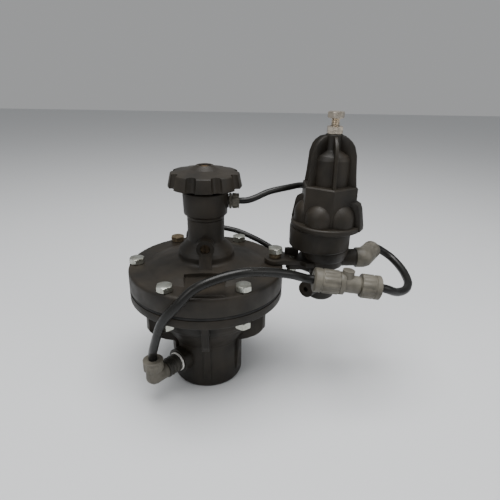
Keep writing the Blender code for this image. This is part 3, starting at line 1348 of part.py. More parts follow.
def make_strainer():
    """In-line strainer with a flushing boss on top and a nut at each end."""
    way = (STRAINER_RIGHT - STRAINER_LEFT).normalized()
    length = (STRAINER_RIGHT - STRAINER_LEFT).length
    left = STRAINER_LEFT_NUT_L + GAP
    right = length - STRAINER_RIGHT_NUT_L - GAP
    body = [
        (STRAINER_BORE_R, left - STRAINER_LEFT_SPIGOT_L),
        (STRAINER_SPIGOT_R, left - STRAINER_LEFT_SPIGOT_L),
        (STRAINER_SPIGOT_R, left),
        (STRAINER_RING_R, left),
        (STRAINER_RING_R, left + STRAINER_RING_T),
        (STRAINER_R, left + STRAINER_RING_T + 0.0008),
        (STRAINER_R, right - 0.0012),
        (STRAINER_SPIGOT_R, right),
        (STRAINER_SPIGOT_R, right + STRAINER_SPIGOT_L),
        (STRAINER_BORE_R, right + STRAINER_SPIGOT_L),
    ]
    shell = piece("strainer_body", aimed(turned(body, ROUND_SMALL), STRAINER_LEFT, way), GREY)
    boss_at = STRAINER_LEFT + way * FLUSH_BOSS_AT
    boss_up = (UP - way * UP.dot(way)).normalized()
    boss_root = boss_at + boss_up * (STRAINER_BORE_R + 0.0004)
    fuse(shell, rod(FLUSH_BOSS_R, boss_root, boss_at + boss_up * FLUSH_BOSS_H))
    inner, low, high = SCREEN_R - SCREEN_T, left - OVERLAP, right + OVERLAP
    mesh = [(inner, low), (SCREEN_R, low), (SCREEN_R, high), (inner, high)]
    piece("strainer_screen", aimed(turned(mesh, ROUND_SMALL), STRAINER_LEFT, way), STEEL)
    across = (STRAINER_NUT_R, STRAINER_SPIGOT_R)
    left_start = STRAINER_LEFT + way * (left - GAP)
    left_size = (STRAINER_LEFT_NUT_L, *across, STRAINER_LEFT_SPIGOT_L, TUBE_R)
    left_end = make_nut("strainer_nut_left", left_start, -way, *left_size)
    right_start = STRAINER_LEFT + way * (right + GAP)
    right_size = (STRAINER_RIGHT_NUT_L, *across, STRAINER_SPIGOT_L, TUBE_R)
    right_end = make_nut("strainer_nut_right", right_start, way, *right_size)
    return way, left_end, right_end


def make_tubes(tap_end, loop_end, sense_tube, control_end):
    """The four tubes of the pilot circuit, each held by a fitting at both ends."""
    way, left_end, right_end = make_strainer()
    make_tube("supply_tube", TUBE_R, tap_end, UP, SUPPLY_ROUTE, left_end, -way, 3)
    loop_way = heading(PILOT_ELBOW_TURN, PILOT_ELBOW_RISE)
    make_tube("loop_tube", TUBE_R, right_end, way, LOOP_ROUTE, loop_end, loop_way, 3)
    port = Vector((COLLAR_TOP_R + COLLAR_PORT_PROUD, 0, COLLAR_Z + COLLAR_PORT_RISE))
    collar_nut = make_straight("collar_fitting", port, RIGHT, COLLAR_HEX_H)
    collar_end = make_small_nut("collar_nut", collar_nut, RIGHT, COLLAR_NUT_L)
    make_tube("control_tube", SMALL_TUBE_R, collar_end, RIGHT, CONTROL_ROUTE, control_end, UP, 2)
    sense_top = Vector((SENSE_TAP_X, SENSE_TAP_Y, SENSE_TAP_TOP_Z))
    outlet_nut = make_straight("outlet_nipple", sense_top, UP, SENSE_HEX_H)
    outlet_end = make_small_nut("outlet_nut", outlet_nut, UP)
    sense_way = heading(SENSE_TURN)
    make_tube("sensing_tube", SMALL_TUBE_R, outlet_end, UP, SENSING_ROUTE, sense_tube, sense_way, 2)


def visible_corners():
    graph = bpy.context.evaluated_depsgraph_get()
    corners = []
    for obj in bpy.context.scene.objects:
        if obj.type in {"MESH", "CURVE"} and not obj.hide_render:
            seen = obj.evaluated_get(graph)
            mesh = seen.to_mesh()
            corners += [seen.matrix_world @ vert.co for vert in mesh.vertices]
            seen.to_mesh_clear()
    return corners


def centre_on_floor():
    """Moves everything so that the origin is at the middle of the underside."""
    bpy.context.view_layer.update()
    corners = visible_corners()
    low = [min(corner[axis] for corner in corners) for axis in range(3)]
    high = [max(corner[axis] for corner in corners) for axis in range(3)]
    ROOT.location = (-(low[0] + high[0]) / 2, -(low[1] + high[1]) / 2, -low[2])
    bpy.context.view_layer.update()


for old in list(bpy.data.objects):
    bpy.data.objects.remove(old)
ROOT = bpy.data.objects.new("valve", None)
bpy.context.scene.collection.objects.link(ROOT)

BLACK = finish("black plastic", (0.021, 0.020, 0.018), 0.42)
GREY = finish("grey plastic", (0.200, 0.185, 0.155), 0.50)
GREY_DARK = finish("dark grey plastic", (0.060, 0.056, 0.048), 0.50)
TUBE = finish("black tube", (0.012, 0.012, 0.011), 0.30)
RUBBER = finish("rubber", (0.010, 0.010, 0.010), 0.75)
ZINC = finish("zinc plated steel", (0.560, 0.580, 0.540), 0.36, 1.0)
NICKEL = finish("nickel plated steel", (0.620, 0.560, 0.480), 0.28, 1.0)
RUST = finish("rusty steel", (0.150, 0.105, 0.060), 0.75, 0.4)
STEEL = finish("stainless steel", (0.500, 0.500, 0.490), 0.30, 1.0)
BRASS = finish("brass", (0.480, 0.330, 0.190), 0.40, 1.0)
BRASS_DARK = finish("dull brass", (0.160, 0.120, 0.070), 0.55, 1.0)
TAPE = finish("sealing tape", (0.750, 0.740, 0.700), 0.70)

make_body()
make_closure()
make_bonnet()
make_bolts()
make_limiter()
TAP_END = make_tap()
make_bracket()
LOOP_END, SENSE_TUBE = make_pilot_base()
CONTROL_END = make_drum()
make_pilot_bonnet()
make_pilot_insides()
make_tubes(TAP_END, LOOP_END, SENSE_TUBE, CONTROL_END)
centre_on_floor()
print("model frame shifted by", tuple(round(value, 6) for value in ROOT.location))
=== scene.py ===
import json
import math

import bmesh
import bpy
from mathutils import Matrix, Vector

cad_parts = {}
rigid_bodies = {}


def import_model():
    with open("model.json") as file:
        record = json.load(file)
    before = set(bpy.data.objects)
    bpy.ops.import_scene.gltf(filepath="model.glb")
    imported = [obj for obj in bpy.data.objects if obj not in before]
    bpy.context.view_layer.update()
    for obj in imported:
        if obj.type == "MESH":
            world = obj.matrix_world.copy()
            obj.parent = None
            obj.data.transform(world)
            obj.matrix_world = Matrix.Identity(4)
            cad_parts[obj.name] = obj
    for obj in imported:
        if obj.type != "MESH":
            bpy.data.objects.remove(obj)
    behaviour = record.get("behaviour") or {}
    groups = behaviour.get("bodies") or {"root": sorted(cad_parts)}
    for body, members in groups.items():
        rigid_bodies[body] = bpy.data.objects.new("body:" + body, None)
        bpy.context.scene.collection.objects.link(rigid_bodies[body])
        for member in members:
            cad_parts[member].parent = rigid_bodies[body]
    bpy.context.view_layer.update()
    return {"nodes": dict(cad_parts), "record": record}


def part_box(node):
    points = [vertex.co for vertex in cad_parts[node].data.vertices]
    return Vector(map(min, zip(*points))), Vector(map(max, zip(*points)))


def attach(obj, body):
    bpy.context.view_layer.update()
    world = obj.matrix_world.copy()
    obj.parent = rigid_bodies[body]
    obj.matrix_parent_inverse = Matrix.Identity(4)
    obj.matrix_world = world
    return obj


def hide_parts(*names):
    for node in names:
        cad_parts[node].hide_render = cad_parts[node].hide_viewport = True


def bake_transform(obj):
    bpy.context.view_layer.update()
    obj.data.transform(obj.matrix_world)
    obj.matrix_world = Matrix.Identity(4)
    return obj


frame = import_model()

# how round and how soft everything is
roundness = {
    "big": 144,
    "medium": 96,
    "small": 64,
    "hole": 36,
    "lobeSteps": 16,
    "cornerSteps": 2,
    "cornerShare": 0.42,
    "fewSides": 8,
    "softEdge": 0.0005,
    "tubeSides": 6,
    "coilSteps": 40,
    "sharpAngle": 38.0,
}
gap = 0.0003
overlap = 0.0010
up = Vector((0.0, 0.0, 1.0))
right = Vector((1.0, 0.0, 0.0))
back = Vector((0.0, 1.0, 0.0))

record = frame["record"]
bodyOf = {node: body for body, nodes in record["behaviour"]["bodies"].items() for node in nodes}
slotOf = {part["node"]: part["material_slot"] for part in record["subparts"]}
bonnetLow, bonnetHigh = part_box("bonnet")
# where the valve's axis stands in the frame
home = Vector(((bonnetLow.x + bonnetHigh.x) / 2, (bonnetLow.y + bonnetHigh.y) / 2, 0.0))
pieces = {}


# unit vector at an angle from +X about Z, raised above the level, in degrees
def heading(turn, rise=0.0):
    flat, lift = math.radians(turn), math.radians(rise)
    return Vector((math.cos(flat) * math.cos(lift), math.sin(flat) * math.cos(lift), math.sin(lift)))


def arc(centreR, centreZ, radius, start, end, steps):
    angles = [math.radians(start + (end - start) * i / steps) for i in range(steps + 1)]
    return [(centreR + radius * math.cos(a), centreZ + radius * math.sin(a)) for a in angles]


# breaks every corner of a closed outline with a small round; points on the axis stay
def softened(outline, radius):
    result = []
    steps = roundness["cornerSteps"]
    for index, point in enumerate(outline):
        here, before = Vector(point), Vector(outline[index - 1])
        after = Vector(outline[(index + 1) % len(outline)])
        inward, outward = before - here, after - here
        if here.x <= 0.0 or min(inward.length, outward.length) < 1e-7:
            result.append(point)
            continue
        reach = min(radius, min(inward.length, outward.length) * roundness["cornerShare"])
        first, last = here + inward.normalized() * reach, here + outward.normalized() * reach
        for step in range(steps + 1):
            t = step / steps
            result.append(tuple((1 - t) ** 2 * first + 2 * t * (1 - t) * here + t * t * last))
    return result


# outline of a ring's section, or of a plain rectangle
def band(inner, outer, low, high):
    return [(inner, low), (outer, low), (outer, high), (inner, high)]


# outline of rods set end to end from low up, each given as its radius and the height of its top
def stacked(low, *rods):
    outline = [(0, low)]
    for radius, high in rods:
        outline += [(radius, outline[-1][1]), (radius, high)]
    return outline + [(0, high)]


# the two points of a bevelled outer corner, at the foot or at the top of an outline
def bevelFoot(radius, low, cut):
    return [(radius - cut, low), (radius, low + cut)]


def bevelTop(radius, high, cut):
    return [(radius, high - cut), (radius - cut, high)]


# a closed outline of (radius, height) points spun about Z; a shape of few sides keeps its hard corners
def turned(profile, segments=roundness["small"], soft=roundness["softEdge"]):
    if segments > roundness["fewSides"]:
        profile = softened(profile, soft)
    bm = bmesh.new()
    ring = [bm.verts.new((radius, 0.0, height)) for radius, height in profile]
    pairs = zip(ring, ring[1:] + ring[:1])
    edges = [bm.edges.new((a, b)) for a, b in pairs if a.co.x > 0.0 or b.co.x > 0.0]
    bmesh.ops.spin(
        bm, geom=ring + edges, cent=(0, 0, 0), axis=(0, 0, 1), angle=math.tau, steps=segments,
        use_merge=True,
    )
    bmesh.ops.remove_doubles(bm, verts=bm.verts, dist=1e-6)
    bmesh.ops.recalc_face_normals(bm, faces=bm.faces)
    return bm


# a flat outline pulled up from one height to another, with its edges softened
def prism(outline, low, high, soft=roundness["softEdge"]):
    bm = bmesh.new()
    base = bm.faces.new([bm.verts.new((x, y, low)) for x, y in outline])
    grown = bmesh.ops.extrude_face_region(bm, geom=[base])["geom"]
    top = [item for item in grown if isinstance(item, bmesh.types.BMVert)]
    bmesh.ops.translate(bm, verts=top, vec=(0, 0, high - low))
    bmesh.ops.recalc_face_normals(bm, faces=bm.faces)
    if soft > 0.0:
        sharp = [edge for edge in bm.edges if edge.calc_face_angle(0.0) > math.radians(25)]
        bmesh.ops.bevel(
            bm, geom=sharp, offset=soft, affect="EDGES", segments=2, profile=0.5, material=-1,
            clamp_overlap=True,
        )
    return bm


# an (out, up) outline as a plate standing on the XZ plane, centred on it
def uprightPlate(outline, thickness):
    bm = prism(outline, -thickness / 2, thickness / 2)
    bmesh.ops.rotate(bm, verts=bm.verts, cent=(0, 0, 0), matrix=Matrix.Rotation(math.pi / 2, 3, "X"))
    return bm


def block(low, high):
    return prism(band(low[0], high[0], low[1], high[1]), low[2], high[2], 0.0)


def moved(bm, offset):
    bmesh.ops.translate(bm, verts=bm.verts, vec=offset)
    return bm


def spun(bm, turn):
    bmesh.ops.rotate(bm, verts=bm.verts, cent=(0, 0, 0), matrix=Matrix.Rotation(math.radians(turn), 3, "Z"))
    return bm


# turns a shape built up +Z so that it starts at origin and runs along direction
def aimed(bm, origin, direction):
    turn = direction.to_track_quat("Z", "Y").to_matrix().to_4x4()
    bmesh.ops.transform(bm, verts=bm.verts, matrix=Matrix.Translation(origin) @ turn)
    return bm


def rod(radius, start, end, segments=roundness["small"]):
    outline = stacked(0, (radius, (end - start).length))
    return aimed(turned(outline, segments, 0.0), start, end - start)


# a rod with the ridges of a thread all along it
def threadedRod(radius, start, end, pitch):
    length = (end - start).length
    count = max(1, round(length / pitch))
    step = length / count
    outline = [(0, 0), (radius * 0.86, 0)]
    for index in range(count):
        outline += [(radius, step * (index + 0.5)), (radius * 0.86, step * (index + 1))]
    return aimed(turned(outline + [(0, length)], roundness["hole"], 0.0), start, end - start)


def meshOf(name, bm):
    mesh = bpy.data.meshes.new(name)
    bm.to_mesh(mesh)
    bm.free()
    return mesh


def placed(name, data):
    made = bpy.data.objects.new(name, data)
    bpy.context.scene.collection.objects.link(made)
    return made


# separate shapes held in one mesh, as one tool for a Boolean
def together(shapes):
    bm = bmesh.new()
    for shape in shapes:
        mesh = meshOf("shape", shape)
        bm.from_mesh(mesh)
        bpy.data.meshes.remove(mesh)
    return bm


# a piece that stands for the CAD node of the same name
def piece(name, bm):
    pieces[name] = placed(f"{name}_fine", meshOf(name, bm))
    return pieces[name]


# gathers a shape for the one Boolean of its kind on a piece
def shapeWith(target, bm, operation):
    name = f"{target.name} {operation.lower()}"
    tools = bpy.data.collections.get(name)
    if tools is None:
        tools = bpy.data.collections.new(name)
        bpy.context.scene.collection.children.link(tools)
        change = target.modifiers.new(operation.title(), "BOOLEAN")
        change.operation = operation
        change.solver = "EXACT"
        change.operand_type = "COLLECTION"
        change.collection = tools
    tools.objects.link(bpy.data.objects.new(name, meshOf(name, bm)))


def fuse(target, bm):
    shapeWith(target, bm, "UNION")


def carve(target, bm):
    shapeWith(target, bm, "DIFFERENCE")


# what bends or is squeezed between two bodies
bending = ("diaphragm", "main_spring", "pilot_diaphragm", "pilot_spring")


# works out all the Booleans in one pass, then puts each piece in its place, gives it its node's finish, hides
# the node and hands the piece to its body, all but the bending ones
def settleAll():
    graph = bpy.context.evaluated_depsgraph_get()
    fresh = bpy.data.meshes.new_from_object
    shapes = {name: fresh(made.evaluated_get(graph)) for name, made in pieces.items()}
    print("shapes worked out")
    for made in pieces.values():
        for change in made.modifiers:
            for tool in list(change.collection.objects):
                bpy.data.objects.remove(tool)
            bpy.data.collections.remove(change.collection)
        bpy.data.objects.remove(made)
    for name, shape in shapes.items():
        shape.transform(Matrix.Translation(home))
        shape.shade_smooth()
        shape.set_sharp_from_angle(angle=math.radians(roundness["sharpAngle"]))
        shape.materials.clear()
        shape.materials.append(finishes[slotOf[name]])
        made = placed(f"{name}_fine", shape)
        pieces[name] = made
        if name not in bending:
            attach(made, bodyOf[name])
        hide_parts(name)


# bolts and nuts of the flanges
bolt = {
    "count": 6,
    "circleR": 0.0675,
    "radius": 0.0039,
    "play": 0.0005,
    "flats": 0.0130,
    "headH": 0.0053,
    "nutH": 0.0065,
    "tail": 0.0020,
}


def boltPlaces():
    step = 360.0 / bolt["count"]
    return [heading(step * index) * bolt["circleR"] for index in range(bolt["count"])]


def boltHoles(low, high):
    return together([rod(boltHoleR, at + up * low, at + up * high, roundness["hole"]) for at in boltPlaces()])


# heads and nuts of steel: steps round, round end against the flats, slope of the cut corners
hexagon = {
    "segments": 72,
    "endShare": 0.97,
    "cutSlope": 0.55,
}


# a turned blank with flats, its corners cut at both ends by a cone as on a real nut or bolt head
def flatSided(flats, height):
    endR = flats / 2 * hexagon["endShare"]
    side = math.tau / 6
    blank = [(0, 0), (endR, 0), (flats, height * 0.1), (flats, height * 0.9), (endR, height), (0, height)]
    bm = turned(blank, hexagon["segments"], 0.0)
    for vert in bm.verts:
        reach = vert.co.xy.length
        if reach < flats * 0.9:
            continue
        corner = flats / 2 / math.cos(math.atan2(vert.co.y, vert.co.x) % side - side / 2)
        drop = (corner - endR) * hexagon["cutSlope"]
        vert.co.xy *= corner / reach
        vert.co.z = drop if vert.co.z < height / 2 else height - drop
    return bm


# plastic nuts of the tubes, as shares of their length or radius
plasticNut = {
    "ribs": 12,
    "ringAt": 0.62,
    "grooveR": 0.93,
    "endR": 0.90,
    "ribDepth": 0.075,
}


# a plastic nut: ribs for the fingers, then a groove and a plain ring at the tube's end
def ribbedNut(radius, length):
    ribs, step = plasticNut["ribs"], length * plasticNut["ringAt"]
    low, endR = radius * plasticNut["grooveR"], radius * plasticNut["endR"]
    profile = [(0, 0), (low, 0), (radius, 0.0009), (radius, step), (low, step + 0.0008), (low, step + 0.0014)]
    profile += [(radius, step + 0.0022), (radius, length - 0.0008), (endR, length), (0, length)]
    bm = turned(profile, ribs * 8, 0.0)
    for vert in bm.verts:
        if 0.0 < vert.co.z < step + 0.0004 and vert.co.xy.length > radius * 0.95:
            wave = math.cos(math.atan2(vert.co.y, vert.co.x) * ribs)
            vert.co.xy *= 1.0 - plasticNut["ribDepth"] * (0.5 - 0.5 * wave) ** 2
    return bm


# hex bolts down through both flanges; the one at +X also clamps the bracket
def makeBolts():
    nutTop = body["flangeUnderZ"] - gap
    nutLow = nutTop - bolt["nutH"]
    for index, at in enumerate(boltPlaces()):
        headZ = bonnetTopZ + gap
        if index == 0:
            headZ = bracketTopZ + gap + bracket["spacerH"] + gap
        turn = 360.0 / bolt["count"] * index + 30
        head = moved(spun(flatSided(bolt["flats"], bolt["headH"]), turn), at + up * headZ)
        made = piece(f"bonnet_bolt_{index + 1}", head)
        low, high = at + up * (nutLow - bolt["tail"]), at + up * (headZ + overlap)
        fuse(made, rod(bolt["radius"], low, high, roundness["hole"]))
        flats = moved(spun(flatSided(bolt["flats"], bolt["nutH"]), turn), at + up * nutLow)
        nut = piece(f"bonnet_nut_{index + 1}", flats)
        low, high = at + up * (nutLow - overlap), at + up * (nutTop + overlap)
        carve(nut, rod(boltHoleR, low, high, roundness["hole"]))


# valve body, with its inlet below and its outlet at the back
body = {
    "boreR": 0.0250,
    "threadR": 0.0285,
    "threadDepth": 0.0240,
    "socketR": 0.0355,
    "socketEdge": 0.0035,
    "shoulderZ": 0.0480,
    "bowlR": 0.0540,
    "bowlZ": 0.0740,
    "bowlWall": 0.0080,
    "flangeR": 0.0750,
    "flangeUnderZ": 0.0943,
    "flangeT": 0.0084,
    "flangeEdge": 0.0008,
    "seatZ": 0.0560,
    "seatWall": 0.0035,
    "troughDepth": 0.0100,
    "troughW": 0.0034,
    "outletZ": 0.0600,
    "outletNeckR": 0.0310,
    "outletSocketL": 0.0235,
    "outletEndY": 0.1000,
    "ribW": 0.0068,
    "ribR": 0.0642,
    "ribCornerDrop": 0.0263,
    "ribFootZ": 0.0110,
    "ribProud": 0.0030,
    "ribTurns": (-150.0, -90.0, -30.0, 30.0, 150.0),
}


def bodyOutline():
    foot = arc(body["socketR"] - body["socketEdge"], body["socketEdge"], body["socketEdge"], -90, 0, 2)
    return [(0, 0)] + foot + [
        (body["socketR"], body["shoulderZ"] - 0.0020),
        (body["socketR"] + 0.0013, body["shoulderZ"] + 0.0018),
        (body["bowlR"] - 0.0040, body["bowlZ"] - 0.0044),
        (body["bowlR"] - 0.0012, body["bowlZ"] - 0.0012),
        (body["bowlR"], body["bowlZ"] + 0.0026),
        (body["bowlR"], body["flangeUnderZ"]),
        *bevelFoot(body["flangeR"], body["flangeUnderZ"], body["flangeEdge"]),
        (body["flangeR"], bodyTopZ),
        (0, bodyTopZ),
    ]


# inlet bore, the standing seat with its trough, and the chamber above them
def waterwayOutline():
    seatZ = body["seatZ"]
    troughR = seatTubeR + body["troughW"]
    troughZ = seatZ - body["troughDepth"]
    lip = body["seatWall"] / 5
    return [
        (0, -overlap),
        (body["threadR"], -overlap),
        (body["threadR"], body["threadDepth"]),
        (body["boreR"], body["threadDepth"]),
        (body["boreR"], seatZ - lip),
        (body["boreR"] + lip, seatZ),
        (seatTubeR - lip, seatZ),
        (seatTubeR, seatZ - lip),
        (seatTubeR, troughZ),
        (troughR, troughZ),
        (troughR + body["troughW"] / 2, troughZ + body["troughDepth"] * 0.8),
        (chamberR, body["bowlZ"] + 0.0020),
        (chamberR, bodyTopZ + overlap),
        (0, bodyTopZ + overlap),
    ]


# side view of a rib: flange, rounded corner, then a low strip down the socket
def ribOutline():
    socketR, ribR, ribProud = body["socketR"], body["ribR"], body["ribProud"]
    cornerZ = body["flangeUnderZ"] - body["ribCornerDrop"]
    innerR = body["bowlR"] - body["bowlWall"] / 2
    rootR = (socketR + body["threadR"]) / 2
    return [
        (ribR, body["flangeUnderZ"] + overlap),
        (ribR, cornerZ),
        (ribR - 0.0035, cornerZ - 0.0050),
        (ribR - 0.0078, cornerZ - 0.0092),
        (socketR + ribProud + 0.0099, cornerZ - 0.0148),
        (socketR + ribProud, cornerZ - 0.0200),
        (socketR + ribProud, cornerZ - 0.0260),
        (socketR + ribProud / 5, body["ribFootZ"]),
        (rootR, body["ribFootZ"]),
        (rootR + 0.0015, body["shoulderZ"]),
        (innerR, body["bowlZ"] + 0.0020),
        (innerR, body["flangeUnderZ"] + overlap),
    ]


# neck and socket of the outlet, laid along +Y from inside the bowl
def outletSolid():
    neckR, edge, end = body["outletNeckR"], body["socketEdge"], body["outletEndY"]
    step = end - body["outletSocketL"]
    rim = arc(body["socketR"] - edge, end - edge, edge, 0, 90, 2)
    profile = [(0, 0), (neckR, 0), (neckR, step), (body["socketR"], step + 0.0020)] + rim + [(0, end)]
    return aimed(turned(profile, roundness["medium"]), up * body["outletZ"], back)


# waterway from the ring chamber to the outlet, wider where the pipe screws in
def outletBore():
    start = seatTubeR + 0.0005
    length = body["outletEndY"] - start
    thread = length - body["threadDepth"]
    profile = stacked(0, (body["boreR"], thread), (body["threadR"], length + overlap))
    return aimed(turned(profile, roundness["medium"]), back * start + up * body["outletZ"], back)


def makeBody():
    shell = piece("valve_body", turned(bodyOutline(), roundness["big"]))
    fuse(shell, together([spun(uprightPlate(ribOutline(), body["ribW"]), turn) for turn in body["ribTurns"]]))
    fuse(shell, outletSolid())
    way = heading(tap["turn"])
    tapAt = up * tap["rise"]
    fuse(shell, rod(tap["bossR"], way * body["threadR"] + tapAt, way * tap["bossEnd"] + tapAt))
    senseAt = Vector((sense["tapX"], sense["tapY"], 0))
    fuse(shell, rod(sense["tapBossR"], senseAt + up * body["outletZ"], senseAt + up * senseTapTopZ))
    carve(shell, turned(waterwayOutline(), roundness["medium"]))
    carve(shell, outletBore())
    tapHole = big["thread"][0] + gap
    inside, outside = way * (body["boreR"] - overlap), way * (tap["bossEnd"] + overlap)
    carve(shell, rod(tapHole, inside + tapAt, outside + tapAt))
    low = senseAt + up * (body["outletZ"] + sense["tapHoleH"])
    carve(shell, rod(small["thread"][0] + gap, low, senseAt + up * (senseTapTopZ + overlap)))
    carve(shell, boltHoles(body["flangeUnderZ"] - overlap, bodyTopZ + overlap))


# diaphragm, stem and closure disc, which rise and sink together
closure = {
    "lift": 0.0080,
    "diaphragmT": 0.0025,
    "diaphragmEdge": 0.0005,
    "plateR": 0.0340,
    "plateT": 0.0032,
    "stemR": 0.0060,
    "stemTipR": 0.0045,
    "stemTipL": 0.0130,
    "stemWasherR": 0.0140,
    "stemWasherT": 0.0040,
    "discR": 0.0290,
    "discT": 0.0070,
    "discHubR": 0.0100,
    "discHubH": 0.0080,
    "sealT": 0.0024,
    "sealSpigotR": 0.0170,
    "sealSpigotH": 0.0020,
    "springCoilR": 0.0155,
    "springWireR": 0.0014,
    "springTurns": 5.0,
}


# diaphragm, its plate, the stem, the disc with its seal, and the closing spring
def makeClosure():
    stemR, stemTipR = closure["stemR"], closure["stemTipR"]
    discR, diaphragmT = closure["discR"], closure["diaphragmT"]
    hole = stemR + gap
    low, high = dishedZ, diaphragmZ
    dishR = closure["plateR"] + 0.0030
    topR = chamberR - 0.0010
    diaphragm = [
        (hole, low),
        (dishR, low),
        (topR, high),
        (body["flangeR"] - closure["diaphragmEdge"], high),
        (body["flangeR"] - closure["diaphragmEdge"], high + diaphragmT),
        (topR - 0.0012, high + diaphragmT),
        (dishR - 0.0012, low + diaphragmT),
        (hole, low + diaphragmT),
    ]
    sheet = piece("diaphragm", turned(diaphragm, roundness["big"]))
    carve(sheet, boltHoles(high - overlap, high + diaphragmT + overlap))

    edge = bevelTop(closure["plateR"], plateTopZ, 0.0008)
    plate = [(hole, plateZ), (closure["plateR"], plateZ), *edge, (hole, plateTopZ)]
    piece("diaphragm_plate", turned(plate, roundness["medium"]))

    washerTop = dishedZ - gap
    stem = [
        (0, stemTipZ),
        (stemTipR, stemTipZ),
        (stemTipR, discTopZ + gap),
        (stemR, discTopZ + gap),
        (stemR, washerTop - closure["stemWasherT"]),
        (closure["stemWasherR"], washerTop - closure["stemWasherT"] + 0.0015),
        (closure["stemWasherR"], washerTop),
        (stemR, washerTop),
        *bevelTop(stemR, stemTopZ, 0.0010),
        (0, stemTopZ),
    ]
    piece("valve_stem", turned(stem))

    discLow = discZ - closure["sealSpigotH"]
    disc = [
        (0, discLow),
        (closure["sealSpigotR"], discLow),
        (closure["sealSpigotR"], discZ),
        (discR, discZ),
        (discR, discZ + closure["discT"] * 0.8),
        (discR - 0.0020, discZ + closure["discT"]),
        (closure["discHubR"] + 0.0020, discZ + closure["discT"] + 0.0030),
        (closure["discHubR"], discTopZ),
        (stemTipR + gap, discTopZ),
        (stemTipR + gap, stemTipZ - gap),
        (0, stemTipZ - gap),
    ]
    piece("closure_disc", turned(disc, roundness["medium"]))
    wireR = closure["springWireR"]
    low, high = plateTopZ + gap + wireR, springRoomZ - gap - wireR
    makeCoil("main_spring", Vector(), closure["springCoilR"], wireR, closure["springTurns"], low, high)
    sealIn, sealOut = closure["sealSpigotR"] + gap, discR - 0.0005
    seal = band(sealIn, sealOut, sealZ, sealZ + closure["sealT"])
    piece("seat_seal", turned(seal, roundness["medium"]))


# bonnet, with its dome, neck, bleed boss and bare panel
bonnet = {
    "rimH": 0.0185,
    "edge": 0.0025,
    "boltLandR": 0.0562,
    "domeSteps": ((0.0470, 0.0033), (0.0380, 0.0053), (0.0300, 0.0072)),
    "bellR": 0.0270,
    "bellFootRise": 0.0100,
    "bellTopRise": 0.0142,
    "neckR": 0.0174,
    "neckFootRise": 0.0257,
    "neckTopRise": 0.0469,
    "neckBoreR": 0.0078,
    "footRoomR": 0.0110,
    "footRoomRise": 0.0320,
    "springRoomR": 0.0210,
    "springRoomRise": 0.0137,
    "chamberRise": 0.0102,
    "plugBossR": 0.0082,
    "plugBossY": 0.0272,
    "plugBossRise": 0.0247,
    "plugRecessR": 0.0046,
    "plugRecessDepth": 0.0050,
    "plugL": 0.0036,
    "plugSlotW": 0.0014,
    "plugPortR": 0.0020,
    "webW": 0.0118,
    "webFootY": 0.0330,
    "panelW": 0.0365,
    "panelD": 0.0338,
    "panelY": 0.0541,
    "panelRise": 0.0022,
    "panelGrooveW": 0.0007,
    "panelGrooveDepth": 0.0009,
}


def bonnetOutline():
    bellR = bonnet["bellR"]
    edge = arc(body["flangeR"] - bonnet["edge"], bonnetTopZ - bonnet["edge"], bonnet["edge"], 0, 90, 2)
    dome = [(radius, bonnetTopZ + rise) for radius, rise in bonnet["domeSteps"]]
    return [(0, bonnetZ), (body["flangeR"], bonnetZ)] + edge + [(bonnet["boltLandR"], bonnetTopZ)] + dome + [
        (bellR + 0.0006, bonnetTopZ + bonnet["bellFootRise"] - 0.0018),
        (bellR, bonnetTopZ + bonnet["bellFootRise"]),
        (bellR, bonnetTopZ + bonnet["bellTopRise"]),
        (bellR - 0.0015, bonnetTopZ + bonnet["bellTopRise"] + 0.0030),
        (bonnet["neckR"] + 0.0016, bonnetTopZ + bonnet["neckFootRise"] - 0.0020),
        (bonnet["neckR"], bonnetTopZ + bonnet["neckFootRise"]),
        (bonnet["neckR"], neckTopZ),
        (0, neckTopZ),
    ]


# control chamber, spring room and the bore for the spindle
def bonnetRoomOutline():
    roomZ = bonnetZ + bonnet["chamberRise"]
    footRoomZ = bonnetTopZ + bonnet["footRoomRise"]
    return [
        (0, bonnetZ - overlap),
        (chamberR, bonnetZ - overlap),
        (chamberR, roomZ),
        (chamberR - 0.0060, roomZ + 0.0055),
        (bonnet["springRoomR"], roomZ + 0.0095),
        (bonnet["springRoomR"], springRoomZ),
        (bonnet["footRoomR"], springRoomZ + 0.0030),
        (bonnet["footRoomR"], footRoomZ),
        (bonnet["neckBoreR"], footRoomZ + 0.0015),
        (bonnet["neckBoreR"], neckTopZ + overlap),
        (0, neckTopZ + overlap),
    ]


